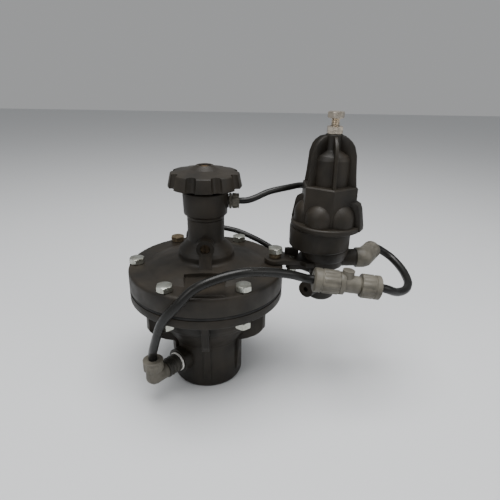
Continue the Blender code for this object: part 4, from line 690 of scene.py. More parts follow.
def makeBonnet():
    shell = piece("bonnet", turned(bonnetOutline(), roundness["big"]))
    plug = up * (bonnetTopZ + bonnet["plugBossRise"])
    fuse(shell, rod(bonnet["plugBossR"], plug, plug - back * bonnet["plugBossY"]))
    web = [
        (bonnet["footRoomR"], plug.z),
        (bonnet["plugBossY"] - 0.0006, plug.z),
        (bonnet["plugBossY"] + 0.0006, plug.z - bonnet["plugBossR"]),
        (bonnet["webFootY"] - 0.0020, bonnetTopZ + bonnet["bellFootRise"] - 0.0005),
        (bonnet["webFootY"], bonnetTopZ + 0.0050),
        (bonnet["footRoomR"], bonnetTopZ + 0.0050),
    ]
    fuse(shell, spun(uprightPlate(web, bonnet["webW"]), -90))
    half, deep = bonnet["panelW"] / 2, bonnet["panelD"] / 2
    near, far = bonnet["panelY"] - deep, bonnet["panelY"] + deep
    panelZ = bonnetTopZ + bonnet["panelRise"]
    margin = bonnet["panelGrooveW"]
    fuse(shell, block((-half, -far, bonnetTopZ - overlap), (half, -near, panelZ + overlap)))
    carve(shell, block((-half - margin, -far - margin, panelZ), (half + margin, -near + margin, plug.z)))
    low, high = panelZ - bonnet["panelGrooveDepth"], bonnetTopZ + bonnet["bellFootRise"]
    for side in (-1, 1):
        edges = sorted((side * half, side * (half - margin)))
        carve(shell, block((edges[0], -far - margin, low), (edges[1], -near, high)))
    carve(shell, block((-half, -near - margin, low), (half, -near, high)))
    carve(shell, turned(bonnetRoomOutline(), roundness["medium"]))
    mouth = plug - back * bonnet["plugBossY"]
    recess = mouth + back * bonnet["plugRecessDepth"]
    carve(shell, rod(bonnet["plugRecessR"], mouth - back * overlap, recess))
    portEnd = plug - back * (bonnet["footRoomR"] - overlap)
    carve(shell, rod(bonnet["plugPortR"], recess - back * overlap, portEnd))
    carve(shell, boltHoles(bonnetZ - overlap, bonnetTopZ + overlap))

    inner = recess - back * gap
    outer = inner - back * bonnet["plugL"]
    bleed = piece("bleed_plug", rod(bonnet["plugRecessR"] - gap, inner, outer))
    slot = bonnet["plugSlotW"] / 2
    low = (-slot, outer.y - overlap, outer.z - bonnet["plugRecessR"])
    high = (slot, outer.y + bonnet["plugL"] / 3, outer.z + bonnet["plugRecessR"])
    carve(bleed, block(low, high))


# collar and spindle that carry the handwheel
limiter = {
    "collarSkirtR": 0.0176,
    "collarSkirtH": 0.0034,
    "collarR": 0.0203,
    "collarTopR": 0.0212,
    "collarH": 0.0259,
    "collarRoomR": 0.0130,
    "collarRoofT": 0.0070,
    "collarPortRise": 0.0157,
    "collarPortProud": 0.0004,
    "spindleR": 0.0060,
    "spindlePinR": 0.0040,
    "spindlePinL": 0.0130,
    "footRise": 0.0180,
    "footR": 0.0080,
    "footT": 0.0047,
    "limitDown": 0.0065,
}


# selector collar, spindle with its foot, and the handwheel on top
def makeLimiter():
    hole = limiter["spindleR"] + gap
    roofZ = collarTopZ - limiter["collarRoofT"]
    collar = [
        (limiter["collarRoomR"], collarZ),
        (limiter["collarSkirtR"], collarZ),
        (limiter["collarSkirtR"], collarZ + limiter["collarSkirtH"] - 0.0008),
        (limiter["collarR"], collarZ + limiter["collarSkirtH"] + 0.0010),
        *bevelTop(limiter["collarTopR"], collarTopZ, 0.0010),
        (hole, collarTopZ),
        (hole, roofZ),
        (limiter["collarRoomR"], roofZ),
    ]
    shell = piece("selector_collar", turned(collar, roundness["big"]))
    port = up * (collarZ + limiter["collarPortRise"])
    mouth = port + right * (limiter["collarTopR"] + limiter["collarPortProud"])
    fuse(shell, rod(small["legR"], port + right * (limiter["collarRoomR"] + overlap), mouth))
    inside = port + right * (limiter["collarRoomR"] - overlap * 2)
    carve(shell, rod(small["thread"][0] + gap, inside, mouth + right * overlap))

    pinTop = spindleZ + limiter["spindlePinL"]
    pinHole = limiter["spindlePinR"] + gap
    screwHole = wheel["screwShankR"] + gap
    screwFloor = spindleTopZ - wheel["screwL"]
    spindle = [
        (pinHole, spindleZ),
        (limiter["spindleR"], spindleZ),
        (limiter["spindleR"], spindleTopZ),
        (screwHole, spindleTopZ),
        (screwHole, screwFloor),
        (0, screwFloor),
        (0, pinTop + gap),
        (pinHole, pinTop + gap),
    ]
    piece("control_spindle", turned(spindle))
    foot = [
        (0, footZ),
        *bevelFoot(limiter["footR"], footZ, 0.0010),
        (limiter["footR"], footZ + limiter["footT"]),
        (limiter["spindlePinR"], footZ + limiter["footT"]),
        (limiter["spindlePinR"], pinTop),
        (0, pinTop),
    ]
    piece("spindle_foot", turned(foot))
    makeHandwheel(hole, screwHole)


# handwheel and its centre screw
wheel = {
    "clearance": 0.0041,
    "topR": 0.0314,
    "footR": 0.0340,
    "rimH": 0.0127,
    "wall": 0.0065,
    "webT": 0.0045,
    "hubR": 0.0080,
    "hubRise": 0.0062,
    "sleeveR": 0.0100,
    "wellR": 0.0058,
    "wellDepth": 0.0034,
    "roofT": 0.0017,
    "lobes": 9,
    "fluteDepth": 0.0044,
    "fluteR": 0.0050,
    "screwR": 0.0050,
    "screwH": 0.0016,
    "screwShankR": 0.0020,
    "screwL": 0.0080,
}


def makeHandwheel(spindleHole, screwHole):
    footR, hubR = wheel["footR"], wheel["hubR"]
    webZ = wheelTopZ - wheel["webT"]
    sleeveZ = collarTopZ + limiter["limitDown"] + overlap
    taper = (footR - wheel["topR"]) / wheel["rimH"]
    profile = [
        (footR - wheel["wall"], wheelFootZ),
        *bevelFoot(footR, wheelFootZ, 0.0006),
        (wheel["topR"], wheelTopZ - 0.0006),
        (wheel["topR"] - 0.0008, wheelTopZ),
        (hubR + 0.0130, wheelTopZ + wheel["hubRise"] * 0.20),
        (hubR + 0.0055, wheelTopZ + wheel["hubRise"] * 0.45),
        (hubR + 0.0018, wheelTopZ + wheel["hubRise"] * 0.78),
        (hubR + 0.0004, wheelHubZ - 0.0006),
        (hubR, wheelHubZ),
        (wheel["wellR"], wheelHubZ),
        (wheel["wellR"], wheelWellZ),
        (screwHole, wheelWellZ),
        (screwHole, wheelWellZ - wheel["roofT"]),
        (spindleHole, wheelWellZ - wheel["roofT"]),
        (spindleHole, sleeveZ),
        (wheel["sleeveR"], sleeveZ),
        (wheel["sleeveR"], webZ),
        (wheel["topR"] - wheel["wall"] + taper * wheel["webT"], webZ),
    ]
    grip = piece("handwheel", turned(profile, roundness["lobeSteps"] * wheel["lobes"]))
    lowR = footR + taper * overlap - wheel["fluteDepth"] + wheel["fluteR"]
    topR = wheel["topR"] - taper * overlap - wheel["fluteDepth"] + wheel["fluteR"]
    flutes = []
    for index in range(wheel["lobes"]):
        way = heading(90 + 360.0 / wheel["lobes"] * index)
        low = way * lowR + up * (wheelFootZ - overlap)
        flutes.append(rod(wheel["fluteR"], low, way * topR + up * (wheelTopZ + overlap * 4)))
    carve(grip, together(flutes))
    headZ = wheelWellZ + gap
    tipZ = spindleTopZ - wheel["screwL"] + overlap
    shank = [
        (0, tipZ),
        (wheel["screwShankR"], tipZ),
        (wheel["screwShankR"], headZ),
        (wheel["screwR"], headZ),
        *bevelTop(wheel["screwR"], headZ + wheel["screwH"], 0.0005),
        (0, headZ + wheel["screwH"]),
    ]
    piece("handwheel_screw", turned(shank))


# tubes and their fittings in both sizes; a thread or spigot is its radius and length
fitting = {
    "big": {
        "tubeR": 0.0040,
        "legR": 0.0078,
        "thread": (0.0050, 0.0090),
        "spigot": (0.0062, 0.0060),
        "nutR": 0.0094,
        "nutL": 0.0112,
    },
    "small": {
        "tubeR": 0.0030,
        "legR": 0.0065,
        "thread": (0.0042, 0.0080),
        "spigot": (0.0048, 0.0036),
        "nutR": 0.0072,
        "nutL": 0.0100,
    },
    "flats": 0.0130,
    "passageR": 0.0022,
    "legNeck": 0.96,  # second leg of an elbow against its first
}
big, small = fitting["big"], fitting["small"]


# points at even steps along a smooth curve through the route, straight at both ends
def smoothRoute(points, spacing):
    points = [Vector(point) for point in points]
    count = len(points)
    chords = [(points[i + 1] - points[i]).length for i in range(count - 1)]
    slopes = [(points[i + 1] - points[i]) / chords[i] for i in range(count - 1)]
    tangents = [slopes[0], slopes[0]]
    for i in range(2, count - 2):
        before, after = chords[i - 1], chords[i]
        tangents.append((slopes[i - 1] * after + slopes[i] * before) / (before + after))
    tangents += [slopes[-1], slopes[-1]]
    route = [points[0]]
    for i in range(count - 1):
        steps = max(1, round(chords[i] / spacing))
        for step in range(1, steps + 1):
            t = step / steps
            ease = t * t * (3 - 2 * t)
            startPull = t * (1 - t) * (1 - t) * chords[i]
            endPull = t * t * (t - 1) * chords[i]
            at = points[i].lerp(points[i + 1], ease)
            route.append(at + tangents[i] * startPull + tangents[i + 1] * endPull)
    return route


# a round wire along a route
def makeWire(name, route, radius):
    curve = bpy.data.curves.new(name, "CURVE")
    curve.dimensions = "3D"
    curve.bevel_depth = radius
    curve.bevel_resolution = roundness["tubeSides"]
    curve.use_fill_caps = True
    spline = curve.splines.new("POLY")
    spline.points.add(len(route) - 1)
    for point, at in zip(spline.points, route):
        point.co = (*at, 1.0)
    spline.use_smooth = True
    pieces[name] = placed(name, curve)


# a tube that leaves one fitting straight, follows its route and enters the next straight
def makeTube(name, size, start, startWay, end, endWay):
    radius = size["tubeR"]
    lead, tail = startWay * radius * 2, endWay * radius * 2
    points = [start, start + lead, *routes[name], end + tail, end]
    makeWire(name, smoothRoute(points, radius * 0.8), radius)


# a compression spring between two heights
def makeCoil(name, axis, coilR, wireR, turns, low, high):
    steps = round(turns * roundness["coilSteps"])
    route = []
    for step in range(steps + 1):
        share = step / steps
        route.append(axis + heading(360.0 * turns * share) * coilR + up * (low + (high - low) * share))
    makeWire(name, route, wireR)


# compression nut: ribs outside, a spigot reaches in from one end, the tube from the other
def makeNut(name, start, way, length, outerR, spigot, tubeR):
    spigotR, spigotL = spigot
    made = piece(name, aimed(ribbedNut(outerR, length), start, way))
    inside = stacked(-overlap, (spigotR + gap, spigotL + gap), (tubeR + gap, length + overlap))
    carve(made, aimed(turned(inside), start, way))
    return start + way * (spigotL + 2 * gap)


# the usual nut of one size of fitting
def makeSizedNut(name, size, start, way, length=None):
    return makeNut(name, start, way, length or size["nutL"], size["nutR"], size["spigot"], size["tubeR"])


# elbow fitting: a threaded end, a rounded corner and a spigot for the tube nut
def makeElbow(name, mouth, corner, out, legR, legL, thread, spigot):
    threadR, threadL = thread
    spigotR, spigotL = spigot
    length = (corner - mouth).length
    bend = arc(0, length, legR, 0, 90, 3)[:-1]
    first = [(0, -threadL), (threadR, -threadL), (threadR, 0), (legR, 0)] + bend + [(0, length + legR)]
    made = piece(name, aimed(turned(first), mouth, corner - mouth))
    second = stacked(0, (legR * fitting["legNeck"], legL), (spigotR, legL + spigotL))
    fuse(made, aimed(turned(second), corner, out))
    return corner + out * (legL + gap)


# straight fitting: thread, hexagon and a spigot for the small tube nut
def makeStraight(name, mouth, way, hexH):
    made = piece(name, aimed(flatSided(fitting["flats"], hexH), mouth + way * gap, way))
    threadR, threadL = small["thread"]
    spigotR, spigotL = small["spigot"]
    length = threadL + hexH
    core = stacked(0, (threadR, length - hexH / 2), (spigotR, length + spigotL))
    fuse(made, aimed(turned(core), mouth + way * (gap - threadL), way))
    return mouth + way * (hexH + 2 * gap)


# fitting that taps the inlet
tap = {
    "turn": -132.2,
    "rise": 0.0310,
    "bossR": 0.0125,
    "bossEnd": 0.0430,
    "tapeR": 0.0096,
    "tapeT": 0.0017,
    "nippleR": 0.0090,
    "nippleL": 0.0144,
    "nippleRibs": 3,
    "reach": 0.0733,
}


# tap fitting on the inlet socket: sealing tape, ribbed nipple, elbow and nut
def makeTap():
    nippleR, nippleL = tap["nippleR"], tap["nippleL"]
    way, level = heading(tap["turn"]), up * tap["rise"]
    tapeStart = way * (tap["bossEnd"] + gap) + level
    threadR, threadL = big["thread"]
    hole = threadR + gap
    tape = band(hole, tap["tapeR"], 0, tap["tapeT"])
    piece("tap_tape", aimed(turned(tape), tapeStart, way))

    nippleStart = tapeStart + way * (tap["tapeT"] + gap)
    rib = nippleL / (2 * tap["nippleRibs"] + 1)
    dip = nippleR - 0.0010
    profile = [(0, -threadL), (threadR, -threadL), (threadR, 0), (nippleR, 0)]
    for index in range(tap["nippleRibs"]):
        low = rib * (2 * index + 1)
        profile += [(nippleR, low), (dip, low + rib * 0.1)]
        profile += [(dip, low + rib * 0.9), (nippleR, low + rib)]
    holeFloor = nippleL - threadL
    profile += [(nippleR, nippleL), (hole, nippleL), (hole, holeFloor), (0, holeFloor)]
    piece("tap_nipple", aimed(turned(profile), nippleStart, way))

    mouth = nippleStart + way * (nippleL + gap)
    corner, legR, thread = way * tap["reach"] + level, big["legR"], (threadR, threadL - gap)
    nutStart = makeElbow("tap_elbow", mouth, corner, up, legR, legR + gap, thread, big["spigot"])
    return makeSizedNut("tap_elbow_nut", big, nutStart, up)


# bracket between the valve and its pilot
bracket = {
    "thickness": 0.0050,
    "endR": 0.0105,
    "halfW": 0.0090,
    "forkHalfW": 0.0160,
    "forkX": 0.1040,
    "webT": 0.0030,
    "webH": 0.0070,
    "webX": 0.0775,
    "webEndX": 0.0915,
    "spacerH": 0.0044,
    "spacerR": 0.0058,
    "lugX": 0.0845,
    "lugR": 0.0060,
    "lugT": 0.0060,
    "lugScrewR": 0.0025,
    "lugScrewFlats": 0.0080,
    "lugScrewHeadH": 0.0040,
}


# plate from the right bonnet bolt to the pilot, with a rib along its back edge
def makeBracket():
    half, fork = bracket["halfW"], bracket["forkHalfW"]
    forkX = bracket["forkX"]
    outline = arc(bolt["circleR"], 0, bracket["endR"], 60, 300, 12)
    webX, webEndX = bracket["webX"], bracket["webEndX"]
    outline += [(webX, -half), (webEndX, -half), (forkX - 0.0080, -fork), (forkX, -fork)]
    outline += [(forkX, fork), (forkX - 0.0080, fork), (webEndX, half), (webX, half)]
    plate = piece("bracket", prism(outline, bracketZ, bracketTopZ))
    webLow = (webX + 0.0005, half - bracket["webT"], bracketTopZ - overlap)
    fuse(plate, block(webLow, (webEndX, half - 0.0002, bracketTopZ + bracket["webH"])))
    low, high = up * (bracketZ - overlap), up * (bracketTopZ + overlap)
    carve(plate, rod(pilot["baseSeatR"] + gap, pilotAxis + low, pilotAxis + high, roundness["medium"]))
    boltAt, lugAt = right * bolt["circleR"], right * bracket["lugX"]
    lugHole = rod(bracket["lugScrewR"] + gap, lugAt + low, lugAt + high)
    carve(plate, together([rod(boltHoleR, boltAt + low, boltAt + high), lugHole]))

    spacerZ = bracketTopZ + gap
    spacer = band(boltHoleR, bracket["spacerR"], spacerZ, spacerZ + bracket["spacerH"])
    piece("bracket_spacer", moved(turned(spacer), boltAt))
    headTop = bracketZ - gap - bracket["lugT"] - gap
    head = flatSided(bracket["lugScrewFlats"], bracket["lugScrewHeadH"])
    made = piece("bracket_screw", moved(head, lugAt + up * (headTop - bracket["lugScrewHeadH"])))
    fuse(made, rod(bracket["lugScrewR"], lugAt + up * (headTop - overlap), lugAt + up * bracketTopZ))


# pilot valve, from its base up to the neck
pilot = {
    "x": 0.1155,
    "turn": -94.0,
    "baseH": 0.0183,
    "baseTopR": 0.0240,
    "baseWaistR": 0.0215,
    "baseWaistRise": 0.0070,
    "baseSeatR": 0.0190,
    "baseSeatDrop": 0.0011,
    "baseStemR": 0.0125,
    "baseNeckR": 0.0110,
    "baseNeckDrop": 0.0160,
    "baseCapR": 0.0135,
    "baseCapDrop": 0.0200,
    "baseDepth": 0.0376,
    "drumX": 0.1100,
    "drumR": 0.0292,
    "drumH": 0.0197,
    "drumEdge": 0.0012,
    "drumRoomR": 0.0165,
    "drumFloorT": 0.0040,
    "flangeR": 0.0340,
    "flangeT": 0.0053,
    "hexCornerR": 0.0272,
    "hexH": 0.0408,
    "housingR": 0.0180,
    "housingH": 0.0640,
    "neckR": 0.0079,
    "height": 0.0858,
    "finT": 0.0030,
    "finShoulderR": 0.0200,
    "finShoulderDrop": 0.0095,
    "finFootR": 0.0254,
    "domeR": 0.0134,
    "domeOut": 0.0182,
    "domeRise": 0.0125,
    "earTurn": -35.0,
    "earR": 0.0350,
    "earW": 0.0100,
    "earH": 0.0278,
    "roomR": 0.0130,
    "roomH": 0.0618,
    "recessR": 0.0162,
    "recessH": 0.0340,
    "diaphragmR": 0.0207,
    "diaphragmT": 0.0016,
    "dish": 0.0020,
    "dishR": 0.0125,
    "spoolR": 0.0034,
    "spoolDrop": 0.0150,
    "spoolLift": 0.0008,
    "followerT": 0.0034,
    "portRise": 0.0044,
    "portR": 0.0085,
    "portEndX": 0.1475,
    "ventTurn": -135.0,
    "ventDrop": 0.0216,
    "ventR": 0.0080,
    "ventReach": 0.0270,
    "ventHoleR": 0.0026,
    "ventHoleDepth": 0.0100,
    "senseTurn": 135.0,
    "senseDrop": 0.0095,
    "senseBossR": 0.0070,
    "senseReach": 0.0210,
    "controlX": 0.1120,
    "controlRise": 0.0100,
    "controlBossR": 0.0075,
    "controlBossY": 0.0330,
    "controlElbowY": 0.0450,
}


def baseOutline():
    low = bracketZ - pilot["baseDepth"]
    stemZ = bracketZ - pilot["baseSeatDrop"]
    capZ = bracketZ - pilot["baseCapDrop"]
    return [
        (0, low),
        *bevelFoot(pilot["baseCapR"], low, 0.0025),
        (pilot["baseCapR"], capZ),
        (pilot["baseNeckR"], capZ + 0.0020),
        (pilot["baseNeckR"], bracketZ - pilot["baseNeckDrop"] + 0.0010),
        (pilot["baseStemR"], bracketZ - pilot["baseNeckDrop"] + 0.0025),
        (pilot["baseStemR"], stemZ),
        (pilot["baseSeatR"], stemZ),
        (pilot["baseSeatR"], bracketTopZ + gap),
        (pilot["baseWaistR"], bracketZ + pilot["baseWaistRise"]),
        (pilot["baseTopR"], baseTopZ - 0.0020),
        (pilot["baseTopR"], baseTopZ),
        (0, baseTopZ),
    ]


# threaded mouth of a port and the narrow passage behind it
def portCut(mouth, inward, threadR, threadL, length):
    profile = stacked(-overlap, (threadR, threadL), (fitting["passageR"], length))
    return aimed(turned(profile), mouth, inward)


def makePilotBase():
    base = piece("pilot_base", moved(turned(baseOutline(), roundness["medium"]), pilotAxis))
    port = pilotAxis + up * (bracketZ + pilot["portRise"])
    mouth = Vector((pilot["portEndX"], 0, port.z))
    fuse(base, rod(pilot["portR"], port, mouth))
    ventWay, ventAt = heading(pilot["ventTurn"]), pilotAxis + up * (bracketZ - pilot["ventDrop"])
    ventEnd = ventAt + ventWay * pilot["ventReach"]
    fuse(base, rod(pilot["ventR"], ventAt, ventEnd))
    senseWay, senseAt = heading(pilot["senseTurn"]), pilotAxis + up * (bracketZ - pilot["senseDrop"])
    reach = pilot["senseReach"]
    spigotR, spigotL = small["spigot"]
    boss = stacked(0, (pilot["senseBossR"], reach), (spigotR, reach + spigotL))
    fuse(base, aimed(turned(boss), senseAt, senseWay))
    lugTop = bracketZ - gap
    lugR = bracket["lugR"]
    lug = arc(bracket["lugX"], 0, lugR, 90, 270, 6) + [(pilot["x"], -lugR), (pilot["x"], lugR)]
    fuse(base, prism(lug, lugTop - bracket["lugT"], lugTop))
    lugAt = right * bracket["lugX"]
    holeLow, holeHigh = up * (lugTop - bracket["lugT"] - overlap), up * (lugTop + overlap)
    carve(base, rod(bracket["lugScrewR"] + gap, lugAt + holeLow, lugAt + holeHigh))
    spoolFloor = bracketZ - pilot["spoolDrop"] - overlap
    spoolTop = pilotAxis + up * (baseTopZ + overlap)
    carve(base, rod(pilot["spoolR"] + gap, pilotAxis + up * spoolFloor, spoolTop))
    threadR, threadL = big["thread"]
    carve(base, portCut(mouth, -right, threadR + gap, threadL + gap, pilot["portEndX"] - pilot["x"]))
    ventFloor = ventEnd - ventWay * pilot["ventHoleDepth"]
    carve(base, rod(pilot["ventHoleR"], ventEnd + ventWay * overlap, ventFloor))
    senseEnd = senseAt + senseWay * (reach + spigotL)
    carve(base, rod(fitting["passageR"], senseEnd + senseWay * overlap, senseAt))

    out = heading(elbow["turn"], elbow["rise"])
    corner = Vector((elbow["x"], 0, port.z))
    start, legR = mouth + right * gap, elbow["radius"]
    nutStart = makeElbow("pilot_elbow", start, corner, out, legR, legR, big["thread"], big["spigot"])
    loopEnd = makeSizedNut("pilot_elbow_nut", big, nutStart, out)
    senseTube = makeSizedNut("sense_nut", small, senseAt + senseWay * (reach + gap), senseWay)
    return loopEnd, senseTube


# short drum under the pilot's bonnet, with the control port at its back
def makeDrum():
    foot = bevelFoot(pilot["drumR"], drumZ, pilot["drumEdge"])
    drum = [(0, drumZ), *foot, (pilot["drumR"], drumTopZ), (0, drumTopZ)]
    shell = piece("pilot_drum", moved(turned(drum, roundness["big"]), right * pilot["drumX"]))
    control = Vector((pilot["controlX"], 0, drumZ + pilot["controlRise"]))
    mouth = control + back * pilot["controlBossY"]
    fuse(shell, rod(pilot["controlBossR"], control + back * pilot["drumRoomR"], mouth))
    ledge = pilotRimZ - gap
    spoolHole = (pilot["spoolR"] + gap, drumZ + pilot["drumFloorT"])
    recess = (pilot["diaphragmR"] + gap, drumTopZ + overlap)
    room = stacked(drumZ - overlap, spoolHole, (pilot["drumRoomR"], ledge), recess)
    carve(shell, moved(turned(room, roundness["medium"]), pilotAxis))
    depth = pilot["controlBossY"] - pilot["drumRoomR"] + overlap * 3
    threadR, threadL = small["thread"]
    carve(shell, portCut(mouth, -back, threadR + gap, threadL + gap, depth))

    corner = Vector((pilot["controlX"], pilot["controlElbowY"], mouth.z))
    start, legR, legL = mouth + back * gap, small["legR"], small["legR"] + gap
    nutStart = makeElbow("control_elbow", start, corner, up, legR, legL, small["thread"], small["spigot"])
    return makeSizedNut("control_nut", small, nutStart, up)


# flange, hidden core, spring housing and the threaded neck on top
def pilotCoreOutline():
    housingR, neckR = pilot["housingR"], pilot["neckR"]
    housingZ = pilotZ + pilot["housingH"]
    return [
        (0, pilotZ),
        *bevelFoot(pilot["flangeR"], pilotZ, 0.0006),
        *bevelTop(pilot["flangeR"], pilotZ + pilot["flangeT"], 0.0010),
        (housingR + 0.0020, pilotZ + pilot["flangeT"]),
        (housingR, pilotZ + pilot["hexH"]),
        (housingR, housingZ),
        (housingR - 0.0020, housingZ + 0.0040),
        (neckR + 0.0025, housingZ + 0.0068),
        (neckR, housingZ + 0.0080),
        *bevelTop(neckR, pilotTopZ, 0.0006),
        (0, pilotTopZ),
    ]


# one half of the arch that runs from the neck over the spring housing to the skirt
def finOutline():
    finShoulderR = pilot["finShoulderR"]
    shoulderZ = pilotTopZ - pilot["finShoulderDrop"]
    skirtZ = pilotZ + pilot["hexH"]
    return [
        (pilot["neckR"] - 0.0020, pilotTopZ - 0.0012),
        (pilot["neckR"] + 0.0010, pilotTopZ - 0.0012),
        (finShoulderR - 0.0070, pilotTopZ - 0.0024),
        (finShoulderR - 0.0028, shoulderZ + 0.0038),
        (finShoulderR, shoulderZ),
        (finShoulderR + 0.0024, shoulderZ - 0.0075),
        (pilot["finFootR"] - 0.0014, shoulderZ - 0.0260),
        (pilot["finFootR"], skirtZ - overlap),
        (pilot["housingR"] - 0.0020, skirtZ - overlap),
        (pilot["housingR"] - 0.0020, pilotZ + pilot["housingH"]),
        (pilot["neckR"] - 0.0020, pilotZ + pilot["housingH"] + 0.0060),
    ]


def earOutline():
    earR, earH = pilot["earR"], pilot["earH"]
    return [
        (pilot["housingR"], pilotZ + overlap),
        (earR, pilotZ + overlap),
        (earR, pilotZ + pilot["flangeT"]),
        (earR - 0.0030, pilotZ + earH - 0.0060),
        (earR - 0.0048, pilotZ + earH - 0.0018),
        (earR - 0.0085, pilotZ + earH),
        (pilot["housingR"], pilotZ + earH),
    ]


def makePilotBonnet():
    shell = piece("pilot_bonnet", moved(turned(pilotCoreOutline(), roundness["medium"]), pilotAxis))
    top = pilotZ + pilot["hexH"]
    skirt = [
        (0, pilotZ + overlap),
        (pilot["hexCornerR"], pilotZ + overlap),
        *bevelTop(pilot["hexCornerR"], top, 0.0012),
        (0, top),
    ]
    fuse(shell, moved(spun(turned(skirt, 6), pilot["turn"]), pilotAxis))
    plates = (
        (finOutline(), pilot["finT"], pilot["turn"], 6),
        (earOutline(), pilot["earW"], pilot["earTurn"], 2),
    )
    for outline, thickness, turn, count in plates:
        step = 360 // count
        blades = [spun(uprightPlate(outline, thickness), turn + step * side) for side in range(count)]
        fuse(shell, moved(together(blades), pilotAxis))
    domeR, domeRise = pilot["domeR"], pilot["domeRise"]
    dome = [(0, overlap), (domeR, overlap)] + arc(0, domeRise, domeR, 0, 90, roundness["hole"] // 4)
    for side in range(6):
        way = heading(pilot["turn"] + 30 + 60 * side) * pilot["domeOut"]
        fuse(shell, moved(turned(dome, soft=0.0), pilotAxis + way + up * pilotZ))
    room = stacked(
        pilotZ - overlap,
        (pilot["recessR"], pilotZ + pilot["recessH"]),
        (pilot["roomR"], pilotZ + pilot["roomH"]),
        (screwHoleR, pilotTopZ + overlap),
    )
    carve(shell, moved(turned(room, roundness["medium"]), pilotAxis))


# the pilot's own diaphragm and spring
def makePilotInsides():
    hole = pilot["spoolR"] + gap
    low, rim, sheetT = pilotRimZ - pilot["dish"], pilotRimZ, pilot["diaphragmT"]
    sheet = [
        (hole, low),
        (pilot["dishR"], low),
        (pilot["drumRoomR"] - 0.0010, rim),
        (pilot["diaphragmR"], rim),
        (pilot["diaphragmR"], rim + sheetT),
        (pilot["drumRoomR"] - 0.0014, rim + sheetT),
        (pilot["dishR"] - 0.0004, low + sheetT),
        (hole, low + sheetT),
    ]
    piece("pilot_diaphragm", moved(turned(sheet, roundness["medium"]), pilotAxis))
    coilR, wireR, turns = screw["pilotCoilR"], screw["pilotWireR"], screw["pilotSpringTurns"]
    low, high = pilotCoilLow + gap + wireR, buttonZ - gap - wireR
    makeCoil("pilot_spring", pilotAxis, coilR, wireR, turns, low, high)


# adjusting screw with its lock nut, and the spring that it presses
screw = {
    "radius": 0.0039,
    "pitch": 0.00125,
    "length": 0.0442,
    "headRise": 0.0135,
    "headH": 0.0057,
    "lockNutH": 0.0065,
    "lockNutTurn": 25.0,
    "buttonT": 0.0060,
    "pilotCoilR": 0.0100,
    "pilotWireR": 0.0015,
    "pilotSpringTurns": 6.0,
}


# screw that sets the pressure, and its lock nut
def makeSetter():
    head = flatSided(bolt["flats"], screw["headH"])
    made = piece("adjusting_screw", moved(head, pilotAxis + up * screwHeadZ))
    low, high = pilotAxis + up * screwTipZ, pilotAxis + up * (screwHeadZ + overlap)
    fuse(made, threadedRod(screw["radius"], low, high, screw["pitch"]))
    nutZ = pilotTopZ + gap
    flats = spun(flatSided(bolt["flats"], screw["lockNutH"]), screw["lockNutTurn"])
    nut = piece("lock_nut", moved(flats, pilotAxis + up * nutZ))
    low, high = up * (nutZ - overlap), up * (nutZ + screw["lockNutH"] + overlap)
    carve(nut, rod(screwHoleR, pilotAxis + low, pilotAxis + high))


# in-line strainer, between two points in space
strainer = {
    "left": Vector((0.0979, -0.0425, 0.1260)),
    "right": Vector((0.1587, -0.0465, 0.1188)),
    "radius": 0.0082,
    "ringR": 0.0106,
    "ringT": 0.0042,
    "nutR": 0.0112,
    "leftNutL": 0.0232,
    "rightNutL": 0.0180,
    "spigotR": 0.0074,
    "spigotL": 0.0120,
    "leftSpigotL": 0.0178,
    "boreR": 0.0052,
    "screenR": 0.0048,
    "screenT": 0.0008,
    "flushBossR": 0.0055,
    "flushBossH": 0.0135,
    "flushBossAt": 0.0300,
}


# in-line strainer with a flushing boss on top and a nut at each end
def makeStrainer():
    origin, spigotR = strainer["left"], strainer["spigotR"]
    way = (strainer["right"] - origin).normalized()
    length = (strainer["right"] - origin).length
    bodyStart = strainer["leftNutL"] + gap
    bodyEnd = length - strainer["rightNutL"] - gap
    profile = [
        (strainer["boreR"], bodyStart - strainer["leftSpigotL"]),
        (spigotR, bodyStart - strainer["leftSpigotL"]),
        (spigotR, bodyStart),
        (strainer["ringR"], bodyStart),
        (strainer["ringR"], bodyStart + strainer["ringT"]),
        (strainer["radius"], bodyStart + strainer["ringT"] + 0.0008),
        (strainer["radius"], bodyEnd - 0.0012),
        (spigotR, bodyEnd),
        (spigotR, bodyEnd + strainer["spigotL"]),
        (strainer["boreR"], bodyEnd + strainer["spigotL"]),
    ]
    shell = piece("strainer_body", aimed(turned(profile), origin, way))
    bossAt = origin + way * strainer["flushBossAt"]
    bossUp = (up - way * up.dot(way)).normalized()
    bossRoot = bossAt + bossUp * (strainer["boreR"] + 0.0004)
    fuse(shell, rod(strainer["flushBossR"], bossRoot, bossAt + bossUp * strainer["flushBossH"]))
    screenR = strainer["screenR"]
    screen = band(screenR - strainer["screenT"], screenR, bodyStart - overlap, bodyEnd + overlap)
    piece("strainer_screen", aimed(turned(screen), origin, way))
    nuts = (
        ("strainer_nut_left", bodyStart - gap, -way, strainer["leftNutL"], strainer["leftSpigotL"]),
        ("strainer_nut_right", bodyEnd + gap, way, strainer["rightNutL"], strainer["spigotL"]),
    )
    ends = []
    for name, at, outward, nutL, spigotL in nuts:
        start, spigot = origin + way * at, (spigotR, spigotL)
        ends.append(makeNut(name, start, outward, nutL, strainer["nutR"], spigot, big["tubeR"]))
    return way, *ends


# fittings at the outlet tap and at the collar
sense = {
    "tapX": -0.0240,
    "tapY": 0.0880,
    "tapBossR": 0.0090,
    "tapH": 0.0310,
    "tapHoleH": 0.0100,
    "hexH": 0.0060,
    "collarHexH": 0.0026,
    "collarNutL": 0.0064,
}


# elbow at the pilot's port
elbow = {
    "x": 0.1565,
    "turn": 50.0,
    "rise": 5.0,
    "radius": 0.0100,
}


